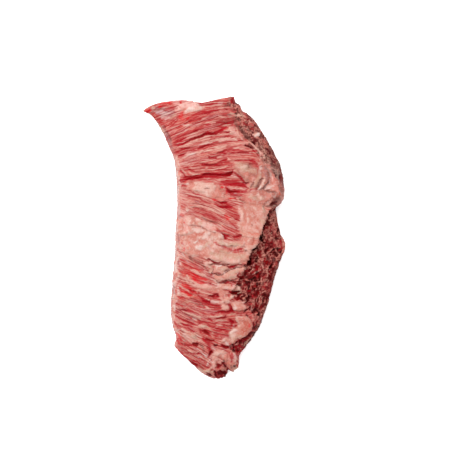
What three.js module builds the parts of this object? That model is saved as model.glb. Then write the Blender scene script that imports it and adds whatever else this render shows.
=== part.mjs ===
// A raw skirt steak: one long, flat piece of coarse-grained beef, lying with its fat side up.
// Millimetres, +Z up. The piece is long along Y, and its grain runs across it, along X.
// The origin is on the surface that it lies on, under the middle of its outline.
//
// The solid is a grid over the outline, bent to its four edges. Its upper side carries the form: the crown,
// the fat sheet with its rough, lower flank, the fat lumps, the gashes and the bundles of grain. A rounded
// wall goes down from the widest line to a flat underside.
import * as THREE from "three";

// Driving sizes
const thickness = 24; // the thick middle, less the fat on it
const widestLevel = 0.42; // height of the widest line, as a share of the thickness there
const footTuck = 5; // how far the underside is drawn in from the widest line
const leftRound = 7; // how far in the rounding of each edge reaches
const topEndRound = 9;
const bottomEndRound = 14;
const flankRound = 1.1; // on the right it is this share of the rough flank's width
const tipReach = 55; // the pointed corner gets thin over this length
const tipThickness = 0.42; // share of the thickness left at the corner
const swell = { height: 1, spacing: 38 }; // the upper side's long, low waves
const grainBundle = { height: 0.7, spacing: 9, length: 27 }; // the coarse bundles of grain
const crag = { height: 1.7, spacing: 6 }; // lumps of cut fibre on the rough flank
const crevice = { depth: 2.5, offset: 3.5, width: 2.6 }; // the deep line under the edge of the fat sheet
const fatEdge = 4; // the fat rises to its height over this distance

// Grid
const smoothColumns = 27; // from the left side to the rough edge
const flankColumns = 14; // from there to the right side
const alongSteps = 98;
const wallSteps = 4;
const endFade = 4; // how soon the shape of an end's line fades out along the piece

// The outline: four edges that meet at the pointed corner, the upper right corner and the two lower ones
const topEndPoints = [
  [-67.5, 121], [-59, 126], [-46.5, 129.5], [-33, 131], [-22, 130], [-12.5, 128.5], [-5, 129.5], [6.5, 132],
  [20, 134.5],
];
const leftSidePoints = [
  [-67.5, 121], [-60, 117.5], [-54, 110.5], [-47.5, 99.5], [-42, 87], [-37, 74.5], [-35, 59.5], [-34, 40.5],
  [-34, 24], [-35.5, 5], [-36, -16.5], [-38, -35.5], [-39, -52], [-40, -66], [-38.5, -83], [-35, -94.5],
  [-37, -103],
];
const bottomEndPoints = [
  [-37, -103], [-30.5, -110.5], [-22, -118.5], [-13.5, -126.5], [-5.5, -132], [3, -134.5], [11.5, -132.5],
  [15, -127], [19, -127.5], [24, -124],
];
const rightSidePoints = [
  [20, 134.5], [21.5, 128.5], [25.5, 126], [27.5, 120.5], [33, 117.5], [40, 110.5], [46.5, 100.5], [53, 90],
  [59, 78.5], [63.5, 69], [66, 58.5], [67.5, 46], [67, 37.5], [63.5, 32], [59.5, 28], [60.5, 21.5], [62, 12],
  [64.5, 2], [67.5, -3], [68, -10], [66, -17.5], [62, -28], [58, -40.5], [55, -52], [52, -63], [47.5, -74.5],
  [44, -85], [39, -93.5], [32.5, -101.5], [28, -107.5], [25, -112], [24.5, -118], [24, -124],
];

// Stations along the piece, each [y, value]
const thicknessShare = [
  [134, 0.7], [115, 0.84], [85, 0.95], [45, 1.04], [0, 1.03], [-50, 0.97], [-85, 0.9], [-110, 0.78],
  [-134, 0.6],
];
const roughEdge = [ // x where the smooth upper side ends and the rough flank of cut fibre begins
  [134, 12], [119, 18], [104, 25], [90, 35], [76, 47], [62, 55], [50, 63], [43, 72], [35, 72], [31, 58],
  [28, 53], [20, 50], [7, 46], [-5, 42], [-12, 35], [-22, 32], [-31, 28], [-40, 25], [-51, 17], [-57, 19],
  [-61, 30], [-68, 33], [-74, 38], [-86, 39], [-95, 32], [-98, 24], [-103, 14], [-108, 17], [-111, 31],
];
const flankDrop = [ // how far below the upper side the flank starts
  [134, 1], [50, 2], [38, 3], [30, 7.5], [-12, 7.5], [-30, 5], [-60, 3], [-100, 2], [-134, 1],
];
const grainSlope = [ // how much the grain rises to the right
  [126, 0.15], [112, 0.32], [93, 0.22], [78, 0.2], [66, 0.06], [57, 0.06], [45, -0.2], [31, -0.36],
  [12, -0.45], [-7, -0.36], [-31, -0.45], [-50, -0.3], [-64, -0.15], [-78, -0.2], [-97, -0.42], [-112, -0.6],
];

// Fat on the upper side: strokes of round patches, each point [x, y, radius]. The first four are the sheet.
const fatStrokes = [
  { height: 2.4, points: [[24, 68, 4], [32, 62, 6], [43, 57, 8.5], [51, 48, 9], [57, 38, 9]] },
  { height: 1.8, points: [[45, 75, 2.5], [49, 66, 4.5], [50, 57, 6.5]] },
  { height: 2.4, points: [[50, 37, 9], [40, 30, 13.5], [38, 20, 12], [36, 6, 10], [32, -8, 7]] },
  { height: 2, points: [[29, -13, 7], [23, -17, 8.5], [-1, -11, 10.5], [-10, -3, 14], [-14, 0, 13]] },
  { height: 1.6, points: [[-23, 22, 3], [-16, 16, 5], [-7, 11, 4.5], [1, 6, 5]] },
  { height: 1.6, points: [[-28, 48, 2], [-19, 49, 4.5], [2, 44, 7], [10, 40, 5], [14, 38, 2.5]] },
  { height: 1.2, points: [[-35, 128, 2.5], [-25, 125, 5], [-15, 124, 2.5]] },
  { height: 2.2, points: [[4, -29, 4], [11, -28, 4]] },
  { height: 2.2, points: [[5, -37, 3.5], [15, -35, 5], [24, -30, 3]] },
  { height: 1.4, points: [[7, -45, 4], [12, -52, 5], [10, -59, 4], [8, -66, 3]] },
  { height: 1.2, points: [[-21, -43, 2], [-13, -46, 4], [-5, -48, 4.5], [1, -48, 3]] },
  { height: 3, points: [[20, -65, 4], [27, -67, 4]] },
  { height: 3.4, points: [[27, -78, 5.5], [30, -84, 6.5], [26, -91, 5.5], [18, -94, 4.5], [20, -98, 3]] },
  { height: 1.4, points: [[-28, -88, 2], [-23, -91, 4], [-16, -95, 3]] },
  { height: 1.8, points: [[17, -114, 4.5], [18, -121, 4.5]] },
];

// Gashes between bundles of grain and between lumps of fat, each point [x, y]
const gashes = [
  { depth: 2.2, width: 3, points: [[-35, 90], [-22, 92], [-12, 95], [-5, 99], [3, 99], [14, 101]] },
  { depth: 1.4, width: 2.8, points: [[-28, 80], [-11, 84], [0, 88]] },
  { depth: 1.4, width: 2.8, points: [[4, 77], [19, 81], [34, 80]] },
  { depth: 2.4, width: 3.2, points: [[-30, 54], [-19, 57], [-1, 59], [10, 59], [17, 61]] },
  { depth: 1.6, width: 3, points: [[9, 50], [17, 51], [32, 48]] },
  { depth: 1.6, width: 3, points: [[-10, 19], [1, 15], [12, 8], [27, 2]] },
  { depth: 1.6, width: 3, points: [[3, -41], [12, -42], [22, -40]] },
  { depth: 2, width: 3.2, points: [[-18, -102], [-15, -102]] },
  { depth: 2, width: 3.2, points: [[-3, -109], [-2, -112]] },
];

const { clamp, smoothstep, lerp } = THREE.MathUtils;

// A repeatable value from 0 to 1 for a corner of a unit grid
function cornerValue(i, j) {
  let h = Math.imul(i, 374761393) ^ Math.imul(j, 668265263);
  h = Math.imul(h ^ (h >>> 13), 1274126177);
  return ((h ^ (h >>> 16)) >>> 0) / 4294967295;
}

// Smooth noise from -1 to 1, with lumps about one unit across
function lumps(x, y) {
  const i = Math.floor(x);
  const j = Math.floor(y);
  const s = smoothstep(x - i, 0, 1);
  const t = smoothstep(y - j, 0, 1);
  const low = lerp(cornerValue(i, j), cornerValue(i + 1, j), s);
  const high = lerp(cornerValue(i, j + 1), cornerValue(i + 1, j + 1), s);
  return 2 * lerp(low, high, t) - 1;
}

// A table's value at y, between its nearest two stations
function station(table, y) {
  const next = table.findIndex(([stationY]) => stationY <= y);
  if (next === 0) return table[0][1];
  if (next < 0) return table[table.length - 1][1];
  const [y0, value0] = table[next - 1];
  const [y1, value1] = table[next];
  return lerp(value0, value1, (y0 - y) / (y0 - y1));
}

function edgeLine(points) {
  const samples = 400;
  const corners = points.map(([x, y]) => new THREE.Vector3(x, y, 0));
  return new THREE.CatmullRomCurve3(corners, false, "catmullrom").getSpacedPoints(samples);
}

const edges = {
  left: edgeLine(leftSidePoints),
  right: edgeLine(rightSidePoints),
  top: edgeLine(topEndPoints),
  bottom: edgeLine(bottomEndPoints),
};

// The point at a share t of an edge's length
function along(line, t) {
  const at = clamp(t, 0, 1) * (line.length - 1);
  const i = Math.min(Math.floor(at), line.length - 2);
  return line[i].clone().lerp(line[i + 1], at - i);
}

// How far an end's line at u lies from the straight line between its corners
function bulge(line, u) {
  return along(line, u).sub(along(line, 0).lerp(along(line, 1), u));
}

// The place of (u, v) in the outline: u runs from left to right, v from the top end to the bottom end
function place(u, v) {
  const betweenSides = along(edges.left, v).lerp(along(edges.right, v), u);
  const topBulge = bulge(edges.top, u).multiplyScalar((1 - v) ** endFade);
  const bottomBulge = bulge(edges.bottom, u).multiplyScalar(v ** endFade);
  return betweenSides.add(topBulge).add(bottomBulge);
}

function distanceTo(line, x, y) {
  return Math.min(...line.map((p) => Math.hypot(p.x - x, p.y - y)));
}

// Distance from (x, y) to a stroke, less its radius there: negative inside
function strokeDistance(points, x, y) {
  let nearest = Infinity;
  for (let i = 0; i + 1 < points.length; i++) {
    const [ax, ay, ar = 0] = points[i];
    const [bx, by, br = 0] = points[i + 1];
    const dx = bx - ax;
    const dy = by - ay;
    const t = clamp(((x - ax) * dx + (y - ay) * dy) / (dx * dx + dy * dy), 0, 1);
    nearest = Math.min(nearest, Math.hypot(x - ax - t * dx, y - ay - t * dy) - lerp(ar, br, t));
  }
  return nearest;
}

function localThickness(x, y) {
  const [tipX, tipY] = topEndPoints[0];
  const nearTip = smoothstep(Math.hypot(x - tipX, y - tipY), 0, tipReach);
  return thickness * station(thicknessShare, y) * lerp(tipThickness, 1, nearTip);
}

// From 0 on the widest line to 1 where the upper side has its full height
function crown(x, y) {
  const flankWidth = Math.max(leftRound, distanceTo(edges.right, station(roughEdge, y), y));
  const closeness = [
    1 - distanceTo(edges.left, x, y) / leftRound,
    1 - distanceTo(edges.right, x, y) / (flankRound * flankWidth),
    1 - distanceTo(edges.top, x, y) / topEndRound,
    1 - distanceTo(edges.bottom, x, y) / bottomEndRound,
  ];
  return closeness.reduce((height, c) => height * Math.sqrt(1 - Math.max(c, 0) ** 2), 1);
}

function fatRelief(x, y) {
  const heights = fatStrokes.map(({ height, points }) => {
    return height * smoothstep(-strokeDistance(points, x, y), -fatEdge / 3, fatEdge);
  });
  return Math.max(...heights);
}

function gashRelief(x, y) {
  const depths = gashes.map(({ depth, width, points }) => {
    return depth * Math.exp(-((strokeDistance(points, x, y) / width) ** 2));
  });
  return -Math.max(...depths);
}

function grainRelief(x, y) {
  const acrossGrain = y - station(grainSlope, y) * x;
  const bundles = lumps(x / grainBundle.length, (2 * acrossGrain) / grainBundle.spacing);
  return grainBundle.height * bundles + swell.height * lumps(x / swell.spacing, y / swell.spacing);
}

function flankRelief(x, y) {
  const drop = station(flankDrop, y);
  const creviceAway = (x - station(roughEdge, y) - crevice.offset) / crevice.width;
  const creviceDepth = crevice.depth * smoothstep(drop, 2, 7) * Math.exp(-(creviceAway ** 2));
  const coarse = lumps(x / crag.spacing, y / crag.spacing);
  const fine = lumps((2 * y) / crag.spacing, (2 * x) / crag.spacing);
  return crag.height * (coarse + 0.5 * fine) - drop - creviceDepth;
}

// Height of the upper side
function upperHeight(x, y) {
  const full = localThickness(x, y);
  const widest = widestLevel * full;
  const height = crown(x, y);
  const onFlank = smoothstep(x - station(roughEdge, y), 0, 2.5);
  const smoothSide = fatRelief(x, y) + gashRelief(x, y) + grainRelief(x, y);
  const relief = lerp(smoothSide, flankRelief(x, y), onFlank);
  return widest + (full - widest) * height + relief * smoothstep(height, 0, 0.8);
}

// The share u at which the row v crosses the rough edge, kept clear of both sides
function roughShare(v) {
  const lowest = 0.5;
  const highest = 0.86;
  const tries = 80;
  for (let i = 0; i < tries; i++) {
    const u = lerp(lowest, highest, i / tries);
    const { x, y } = place(u, v);
    if (x > station(roughEdge, y)) return u;
  }
  return highest;
}

// The grid's points as shares [u, v]. One of its columns follows the rough edge, smoothed a little, and the
// columns and rows are closer together near it and near the outline.
const columns = smoothColumns + flankColumns;
const crowded = (t, amount) => lerp(t, smoothstep(t, 0, 1), amount);
const rowShares = Array.from({ length: alongSteps + 1 }, (_, j) => crowded(j / alongSteps, 0.2));
const roughShares = rowShares.map(roughShare);
const smoothedRoughShares = roughShares.map((_, j) => {
  const near = roughShares.slice(Math.max(j - 3, 0), j + 4);
  return near.reduce((sum, share) => sum + share, 0) / near.length;
});
const gridShares = rowShares.map((v, j) => {
  const edge = smoothedRoughShares[j];
  return Array.from({ length: columns + 1 }, (_, i) => {
    if (i <= smoothColumns) return [edge * crowded(i / smoothColumns, 0.5), v];
    return [lerp(edge, 1, ((i - smoothColumns) / flankColumns) ** 1.2), v];
  });
});

// The grid's border as [column, row], from the pointed corner down the left side and back up the right
const border = [
  ...Array.from({ length: alongSteps }, (_, j) => [0, j]),
  ...Array.from({ length: columns }, (_, i) => [i, alongSteps]),
  ...Array.from({ length: alongSteps }, (_, j) => [columns, alongSteps - j]),
  ...Array.from({ length: columns }, (_, i) => [columns - i, 0]),
];

function makeSteak() {
  const positions = [];
  const indices = [];
  const addPoint = (x, y, z) => positions.push(x, y, z) / 3 - 1;
  const addQuad = (a, b, c, d) => indices.push(a, b, c, a, c, d);

  // The upper side
  const upper = gridShares.map((row) => row.map(([u, v]) => {
    const { x, y } = place(u, v);
    return addPoint(x, y, upperHeight(x, y));
  }));
  for (let j = 0; j < alongSteps; j++) {
    for (let i = 0; i < columns; i++) {
      addQuad(upper[j][i], upper[j + 1][i], upper[j + 1][i + 1], upper[j][i + 1]);
    }
  }

  // The wall under the widest line, drawn in towards the foot
  const width = place(0, 0.5).distanceTo(place(1, 0.5));
  const length = place(0.5, 0).distanceTo(place(0.5, 1));
  const drawIn = (share, size) => 0.5 + (share - 0.5) * (1 - (2 * footTuck) / size);
  let ringAbove = border.map(([i, j]) => upper[j][i]);
  for (let k = 1; k <= wallSteps; k++) {
    const angle = (k / wallSteps) * (Math.PI / 2);
    const ring = border.map(([i, j]) => {
      const [u, v] = gridShares[j][i];
      const rim = place(u, v);
      const foot = place(drawIn(u, width), drawIn(v, length));
      const widest = widestLevel * localThickness(rim.x, rim.y);
      const { x, y } = rim.lerp(foot, 1 - Math.cos(angle));
      return addPoint(x, y, k === wallSteps ? 0 : widest * (1 - Math.sin(angle)));
    });
    ring.forEach((point, n) => {
      const next = (n + 1) % ring.length;
      addQuad(ringAbove[n], point, ring[next], ringAbove[next]);
    });
    ringAbove = ring;
  }

  // The flat underside
  const foot = ringAbove.map((n) => new THREE.Vector2(positions[3 * n], positions[3 * n + 1]));
  for (const [a, b, c] of THREE.ShapeUtils.triangulateShape(foot, [])) {
    indices.push(ringAbove[c], ringAbove[b], ringAbove[a]);
  }

  const geometry = new THREE.BufferGeometry();
  geometry.setAttribute("position", new THREE.Float32BufferAttribute(positions, 3));
  geometry.setIndex(indices);
  geometry.computeVertexNormals();
  return geometry;
}

const rawMeat = new THREE.MeshStandardMaterial({ color: 0xc27064, roughness: 0.45, metalness: 0 });
const steak = new THREE.Mesh(makeSteak(), rawMeat);
steak.name = "steak";

const skirtSteak = new THREE.Group();
skirtSteak.add(steak);

export default skirtSteak;
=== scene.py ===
import math

import bmesh
import bpy
import numpy as np
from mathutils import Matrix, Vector


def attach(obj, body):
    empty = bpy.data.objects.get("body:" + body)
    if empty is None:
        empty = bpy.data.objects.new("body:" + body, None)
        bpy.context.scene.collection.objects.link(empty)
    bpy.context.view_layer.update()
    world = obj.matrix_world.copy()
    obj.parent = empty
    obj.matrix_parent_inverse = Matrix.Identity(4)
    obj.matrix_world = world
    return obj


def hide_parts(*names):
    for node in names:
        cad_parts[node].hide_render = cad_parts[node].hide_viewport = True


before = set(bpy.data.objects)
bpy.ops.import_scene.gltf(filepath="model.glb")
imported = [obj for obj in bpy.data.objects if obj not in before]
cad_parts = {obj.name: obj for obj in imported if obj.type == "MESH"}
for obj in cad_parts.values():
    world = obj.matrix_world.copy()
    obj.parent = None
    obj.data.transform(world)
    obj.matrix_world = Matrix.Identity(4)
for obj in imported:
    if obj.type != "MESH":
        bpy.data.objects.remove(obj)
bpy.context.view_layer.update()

millimetre = 0.001  # the tables below are in millimetres, the objects in metres

# The outline: four edges that meet at the pointed corner, the upper right corner and the two lower ones
outline = {
    "top": [
        (-67.5, 121), (-59, 126), (-46.5, 129.5), (-33, 131), (-22, 130), (-12.5, 128.5), (-5, 129.5),
        (6.5, 132), (20, 134.5),
    ],
    "left": [
        (-67.5, 121), (-60, 117.5), (-54, 110.5), (-47.5, 99.5), (-42, 87), (-37, 74.5), (-35, 59.5),
        (-34, 40.5), (-34, 24), (-35.5, 5), (-36, -16.5), (-38, -35.5), (-39, -52), (-40, -66), (-38.5, -83),
        (-35, -94.5), (-37, -103),
    ],
    "bottom": [
        (-37, -103), (-30.5, -110.5), (-22, -118.5), (-13.5, -126.5), (-5.5, -132), (3, -134.5),
        (11.5, -132.5), (15, -127), (19, -127.5), (24, -124),
    ],
    "right": [
        (20, 134.5), (21.5, 128.5), (25.5, 126), (27.5, 120.5), (33, 117.5), (40, 110.5), (46.5, 100.5),
        (53, 90), (59, 78.5), (63.5, 69), (66, 58.5), (67.5, 46), (67, 37.5), (63.5, 32), (59.5, 28),
        (60.5, 21.5), (62, 12), (64.5, 2), (67.5, -3), (68, -10), (66, -17.5), (62, -28), (58, -40.5),
        (55, -52), (52, -63), (47.5, -74.5), (44, -85), (39, -93.5), (32.5, -101.5), (28, -107.5),
        (25, -112), (24.5, -118), (24, -124),
    ],
}

# The form of the piece, and the grid that it is made on
form = {
    "thickness": 24,
    "widestLevel": 0.42,  # height of the widest line, as a share of the thickness
    "footTuck": 5,  # how far the underside is drawn in
    "leftRound": 7,
    "topEndRound": 9,
    "bottomEndRound": 14,
    "flankRound": 1.1,
    "tipReach": 55,
    "tipThickness": 0.42,
    "endFade": 4,
    "swell": 1,
    "swellSpacing": 38,
    "columns": 144,
    "rows": 504,
    "wallRings": 9,
    "underShare": 3,  # the underside's squares are this many times as wide
    "crowdColumns": 0.3,  # how far the grid is drawn towards its sides
    "crowdRows": 0.12,
}

# Stations along the piece, each (y, value)
thicknessShare = [
    (134, 0.7), (115, 0.84), (85, 0.95), (45, 1.04), (0, 1.03), (-50, 0.97), (-85, 0.9), (-110, 0.78), (-134, 0.6),
]
roughEdge = [  # x where the smooth upper side ends and the rough flank of cut fibre begins
    (134, 12), (119, 18), (104, 25), (90, 35), (76, 47), (62, 55), (50, 63), (43, 72), (35, 72), (31, 58),
    (28, 53), (20, 50), (7, 46), (-5, 42), (-12, 35), (-22, 32), (-31, 28), (-40, 25), (-51, 17), (-57, 19),
    (-61, 30), (-68, 33), (-74, 38), (-86, 39), (-95, 32), (-98, 24), (-103, 14), (-108, 17), (-111, 31),
]
flankDrop = [  # how far below the upper side the flank starts
    (134, 1), (50, 2), (38, 3), (30, 7.5), (-12, 7.5), (-30, 5), (-60, 3), (-100, 2), (-134, 1),
]
# The grain's run: its slope at the middle, and how the slope changes to the right
grainSlope = [
    (126, 0.15), (112, 0.32), (93, 0.22), (78, 0.2), (66, 0.06), (57, 0.04), (45, -0.18), (31, -0.34),
    (12, -0.42), (-7, -0.34), (-31, -0.45), (-50, -0.3), (-64, -0.14), (-78, -0.2), (-97, -0.42), (-112, -0.58),
]
grainBend = [
    (126, -0.15), (112, -0.24), (93, -0.11), (78, -0.12), (66, 0), (-7, -0.02), (-31, 0), (-50, 0.15),
    (-64, 0.25), (-78, 0.33), (-97, 0.2), (-112, 0),
]

# Fat on the upper side, as strokes of round patches (x, y, radius), each with its rise
fatSheet = {
    "folds": (2.4, [(22, 68, 3), (28, 65, 5.5), (36, 60, 8), (44, 56, 8.5), (52, 50, 9), (57, 40, 9)]),
    "foldsTop": (1.6, [(43, 67, 2.5), (49, 70, 2.5), (51, 60, 5)]),
    "middle": (2.6, [(48, 38, 8), (40, 34, 8), (38, 24, 13), (37, 10, 11.5), (36, 0, 9), (32, -8, 7.5)]),
    "lower": (2, [(29, -13, 8), (21, -18, 8), (10, -17, 7), (0, -13, 8.5), (-10, -7, 13), (-20, -5, 12.5)]),
    "nodules": (2, [(-27, 10, 8.5), (-14, 10.5, 8.5), (-5, 8, 7.5), (1, 6, 5.5), (4, 0, 5)]),
    "tongue": (1.6, [(4, -5, 4), (12, -7, 2.6), (20, -7, 2.8), (28, -6, 4)]),
}
fatLumps = {
    "lumpA": (2, [(4, -29.5, 3.5), (9, -29, 4.2), (13, -28.5, 2.5)]),
    "lumpB": (2.2, [(5, -37.5, 3.3), (12, -36.5, 4), (19, -34.5, 4.5), (25, -31, 4), (29, -29, 2.5)]),
    "egg": (3, [(20.5, -65, 4.3), (25.5, -66, 4.5), (28.5, -66.5, 3.3)]),
    "big": (3.4, [(24, -77, 3.5), (30, -80, 6.5), (31.5, -84.5, 6.3), (27, -89, 6.5), (20, -92.5, 6), (19, -97.5, 3.3)]),
    "side": (1.4, [(9, -45, 3.5), (16, -47, 3.5), (24, -48.5, 2.6)]),
    "sideLow": (1.2, [(12, -59.5, 2.6), (18, -55.5, 2)]),
    "underSide": (1.2, [(10, -66, 3), (13, -66, 2.6)]),
    "tailLobe": (2.4, [(18, -112, 3.8), (18, -118, 4.6), (19, -122, 4), (21.5, -124, 2.5)]),
    "tailA": (1.6, [(4, -110, 3.5), (9.5, -111, 3.8), (12, -115, 3)]),
    "tailB": (1.4, [(2, -116, 3.2), (1, -121, 2.6)]),
    "tailCurl": (1.2, [(-1, -124, 1.4), (-5, -126.6, 1.5), (-10, -127, 1.2)]),
    "curlA": (1.4, [(8.5, -98.5, 1.6), (12, -96, 1.4), (15, -97, 1.4)]),
    "curlB": (1.2, [(12, -99.8, 1.1), (14, -102, 1.2)]),
    "blob": (1.6, [(38, 98, 1.2), (41, 97.5, 2.6), (44, 98.5, 1.6)]),
    "strand": (1.4, [(33.5, 92, 0.7), (38, 88, 1.3), (42, 84, 1.4), (46.5, 79.5, 0.9)]),
    "curl": (1, [(23, 104, 1), (24, 99, 1.3), (25.5, 95.8, 1.3), (28.5, 93.4, 0.8)]),
    "knot": (1.2, [(34.5, 49.5, 1.5), (33.5, 44, 1.2)]),
}
fatInGrain = {
    "midPatch": (1.6, [(-25, 48.5, 2.6), (-17, 48.5, 4.6), (-8, 46.5, 6.2), (0, 44.5, 7.2), (6, 42, 6.2), (10, 39.5, 3.5)]),
    "topEnd": (1.2, [(-31, 124, 3), (-24, 123, 4.5), (-16, 123.5, 4), (-11, 123.5, 2)]),
    "bandPatch": (0.8, [(19, 103.5, 2), (20.5, 99, 3), (22, 95, 1.8)]),
    "columnA": (1.2, [(-3.5, -25, 3), (-2.5, -31, 3)]),
    "columnB": (1.2, [(2, -36, 2.2), (3, -40, 2.2), (5, -46, 3.6), (8, -51, 4.4), (10, -57, 4), (8, -62, 3.4)]),
    "leftPatch": (1.2, [(-21, -40, 2), (-18, -44, 3.2), (-12, -47, 3.4), (-4, -48, 3), (2, -49.5, 2.5)]),
    "lens": (1.6, [(-30, -87.5, 1.6), (-25, -91, 3.3), (-19, -94, 3.8), (-16, -97, 2.4)]),
    "tailStreak": (0.8, [(-14, -83.5, 1), (-9, -84, 2), (-4, -86, 1.6)]),
    "gristle": (0.8, [(-28, 37, 0.9), (-26.5, 33, 1.2), (-25, 30, 1.5), (-23, 26.5, 2.7)]),
    "edgeSpot": (0.6, [(-35, 76, 1.6), (-34, 73, 2.6), (-33, 70, 1.4)]),
    "edgeLow": (0.6, [(-36, -28, 1.6), (-35, -32, 2.2), (-33, -37, 1.4)]),
    "edgeTail": (0.6, [(-30, -53, 2), (-36.5, -57, 1.6), (-34, -59, 1.4)]),
}

# Dark red gashes between bundles of grain, as strokes (x, y, half width)
gashes = {
    "upper": [
        (-36, 88.2, 0.4), (-29, 89.2, 0.8), (-25, 91, 1), (-20, 93.4, 1.2), (-14, 94.8, 1.3), (-9, 96.8, 1.6),
        (-4, 98.8, 2), (2, 98.6, 1.2), (8, 100.4, 0.9), (12, 100.7, 0.7), (16, 100.2, 0.4),
    ],
    "upperWedge": [(-9, 98.5, 0.4), (-5, 100, 1), (0, 100, 0.8), (4, 99.5, 0.3)],
    "left": [(-32, 83.6, 0.4), (-27, 84.4, 1.1), (-22, 85.3, 0.6), (-17, 85.4, 0.3)],
    "leftLow": [(-34, 77.4, 0.8), (-31, 77.8, 1.2), (-28, 79, 0.9), (-25, 80.2, 0.4)],
    "centreA": [(-14, 84.3, 0.4), (-10, 86, 1.1), (-5, 87.8, 0.9), (1, 89.2, 0.4)],
    "centreB": [(4, 80.2, 0.5), (8, 81, 1.1), (12, 82.7, 0.8), (17, 83.6, 0.6), (21, 83, 0.3)],
    "centreC": [(24, 80.6, 0.4), (28, 80.8, 0.8), (32, 81, 0.8), (35, 81.2, 0.4)],
    "centreD": [(-6, 75, 0.3), (0, 76.2, 1.1), (4, 75.2, 0.3)],
    "centreE": [(-1, 77, 0.3), (4, 77.2, 0.7), (7, 77.6, 0.3)],
    "spotA": [(10.5, 79.4, 0.5), (13, 80.6, 0.5)],
    "spotB": [(15.5, 79.3, 0.5), (19.5, 79.6, 0.4)],
    "wedge": [(30, 88, 0.4), (33, 87.2, 0.7), (35.5, 86.3, 1.3), (39, 84.8, 0.4)],
    "brown": [(3, 108.8, 0.4), (10, 108.9, 0.7), (14, 108.5, 1.1), (19, 107.9, 0.9), (20.5, 110.5, 0.5)],
    "main": [
        (-31, 51.8, 0.4), (-27, 53.2, 0.7), (-23, 55.6, 1), (-19, 57.2, 1.5), (-15, 57, 1.3), (-11, 57.2, 0.9),
        (-8, 59.5, 1.4), (-4, 60.2, 1.6), (1, 59.2, 1.2), (7, 58.8, 1.2), (12, 59.7, 1.4), (16, 60.6, 2.1),
        (18.5, 62, 1.2), (18.8, 64.5, 0.4),
    ],
    "midA": [(-12, 70.3, 0.4), (-8, 69.5, 1.3), (-4, 68.8, 0.9), (2, 68.6, 0.9), (6, 68.6, 1), (9, 70, 0.5)],
    "midB": [(4, 71.5, 0.4), (8, 72.7, 0.7), (12, 74.3, 1), (14, 75.5, 0.3)],
    "core": [(14, 47, 0.6), (16.5, 43.6, 1.7), (20, 43, 1), (24, 43.5, 0.5)],
    "notch": [(20, 62.4, 0.4), (24, 59.5, 0.8), (27, 55.3, 0.9), (30, 52.2, 0.9), (34, 51.6, 0.6)],
    "notchLow": [(26, 49.5, 0.3), (30, 48.5, 0.7), (33.5, 47.2, 0.9), (32, 46, 0.4)],
    "midRed": [(3, 34.4, 0.5), (7, 33.2, 1.3), (12, 33.7, 1.2), (15, 34.5, 0.4)],
    "midLow": [(4, 30, 0.4), (7, 29, 1), (12, 28, 1), (18, 27.6, 0.5)],
    "lowRight": [(8, 4.5, 0.6), (10.5, 1.5, 1.1), (12, -1, 1)],
    "lowRightB": [(11, 3.3, 0.8), (16, 1.6, 1.2), (22, 1, 0.8), (26.5, 2.7, 0.9)],
    "holeA": [(-19, -101.4, 1.6), (-15.5, -102, 1.9), (-13.5, -101.8, 0.6)],
    "holeB": [(-1, -107.5, 0.9), (-2.5, -110, 1.7), (-4, -113, 0.9)],
    "holeC": [(1.3, -102.6, 0.7), (3.8, -102.4, 1)],
    "lumpGap": [
        (13.5, -26.8, 0.4), (16.5, -28.3, 1.1), (20, -27.3, 0.9), (24, -25.9, 0.6), (28, -25.2, 0.4), (30.5, -26.8, 0.9),
    ],
    "lumpGapB": [(7, -42.3, 0.6), (12.5, -41.7, 1.2), (17, -41, 0.5), (21, -43, 0.9), (25, -42, 0.6)],
    "patchGap": [(-4, -20, 0.9), (-1, -21.8, 0.7), (1.5, -24, 1), (7, -22.8, 0.5)],
    "fibreGapA": [(-4, -56, 1), (0, -56.7, 1.6), (3.5, -54.5, 1.4), (5, -57, 0.8)],
    "fibreGapB": [(-10, -60.4, 0.7), (-6, -61, 1.5), (-2.5, -61, 1.2)],
    "fibreGapC": [(-4.5, -42.8, 0.4), (-2.5, -44, 1)],
    "sideGap": [(15.5, -51.8, 0.7), (20, -53, 1.2), (24.5, -52.4, 0.7)],
    "eggGap": [(2, -70, 0.4), (8, -70.4, 1), (13, -71, 1), (17.5, -69.5, 1.2), (20, -71.2, 0.8)],
    "eggGapB": [(16, -64.5, 0.4), (17.5, -68.5, 1.1)],
    "wavyGap": [(1, -76.5, 0.4), (6, -77, 0.6), (11, -76, 1), (12, -74, 0.5)],
    "sideCrimson": [(15, -77.5, 0.6), (18.5, -80.5, 1.5), (17.5, -83.2, 0.8)],
    "tailGap": [(8, -103, 0.9), (11, -104.6, 1.5), (14.5, -104, 0.8)],
    "lowFibre": [(-6, -95.5, 0.4), (-2.5, -98.5, 0.9), (1, -99, 0.4)],
    "lowFibreB": [(-12, -88.5, 0.5), (-7, -90.5, 1.8), (-3, -93, 0.6)],
}

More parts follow.
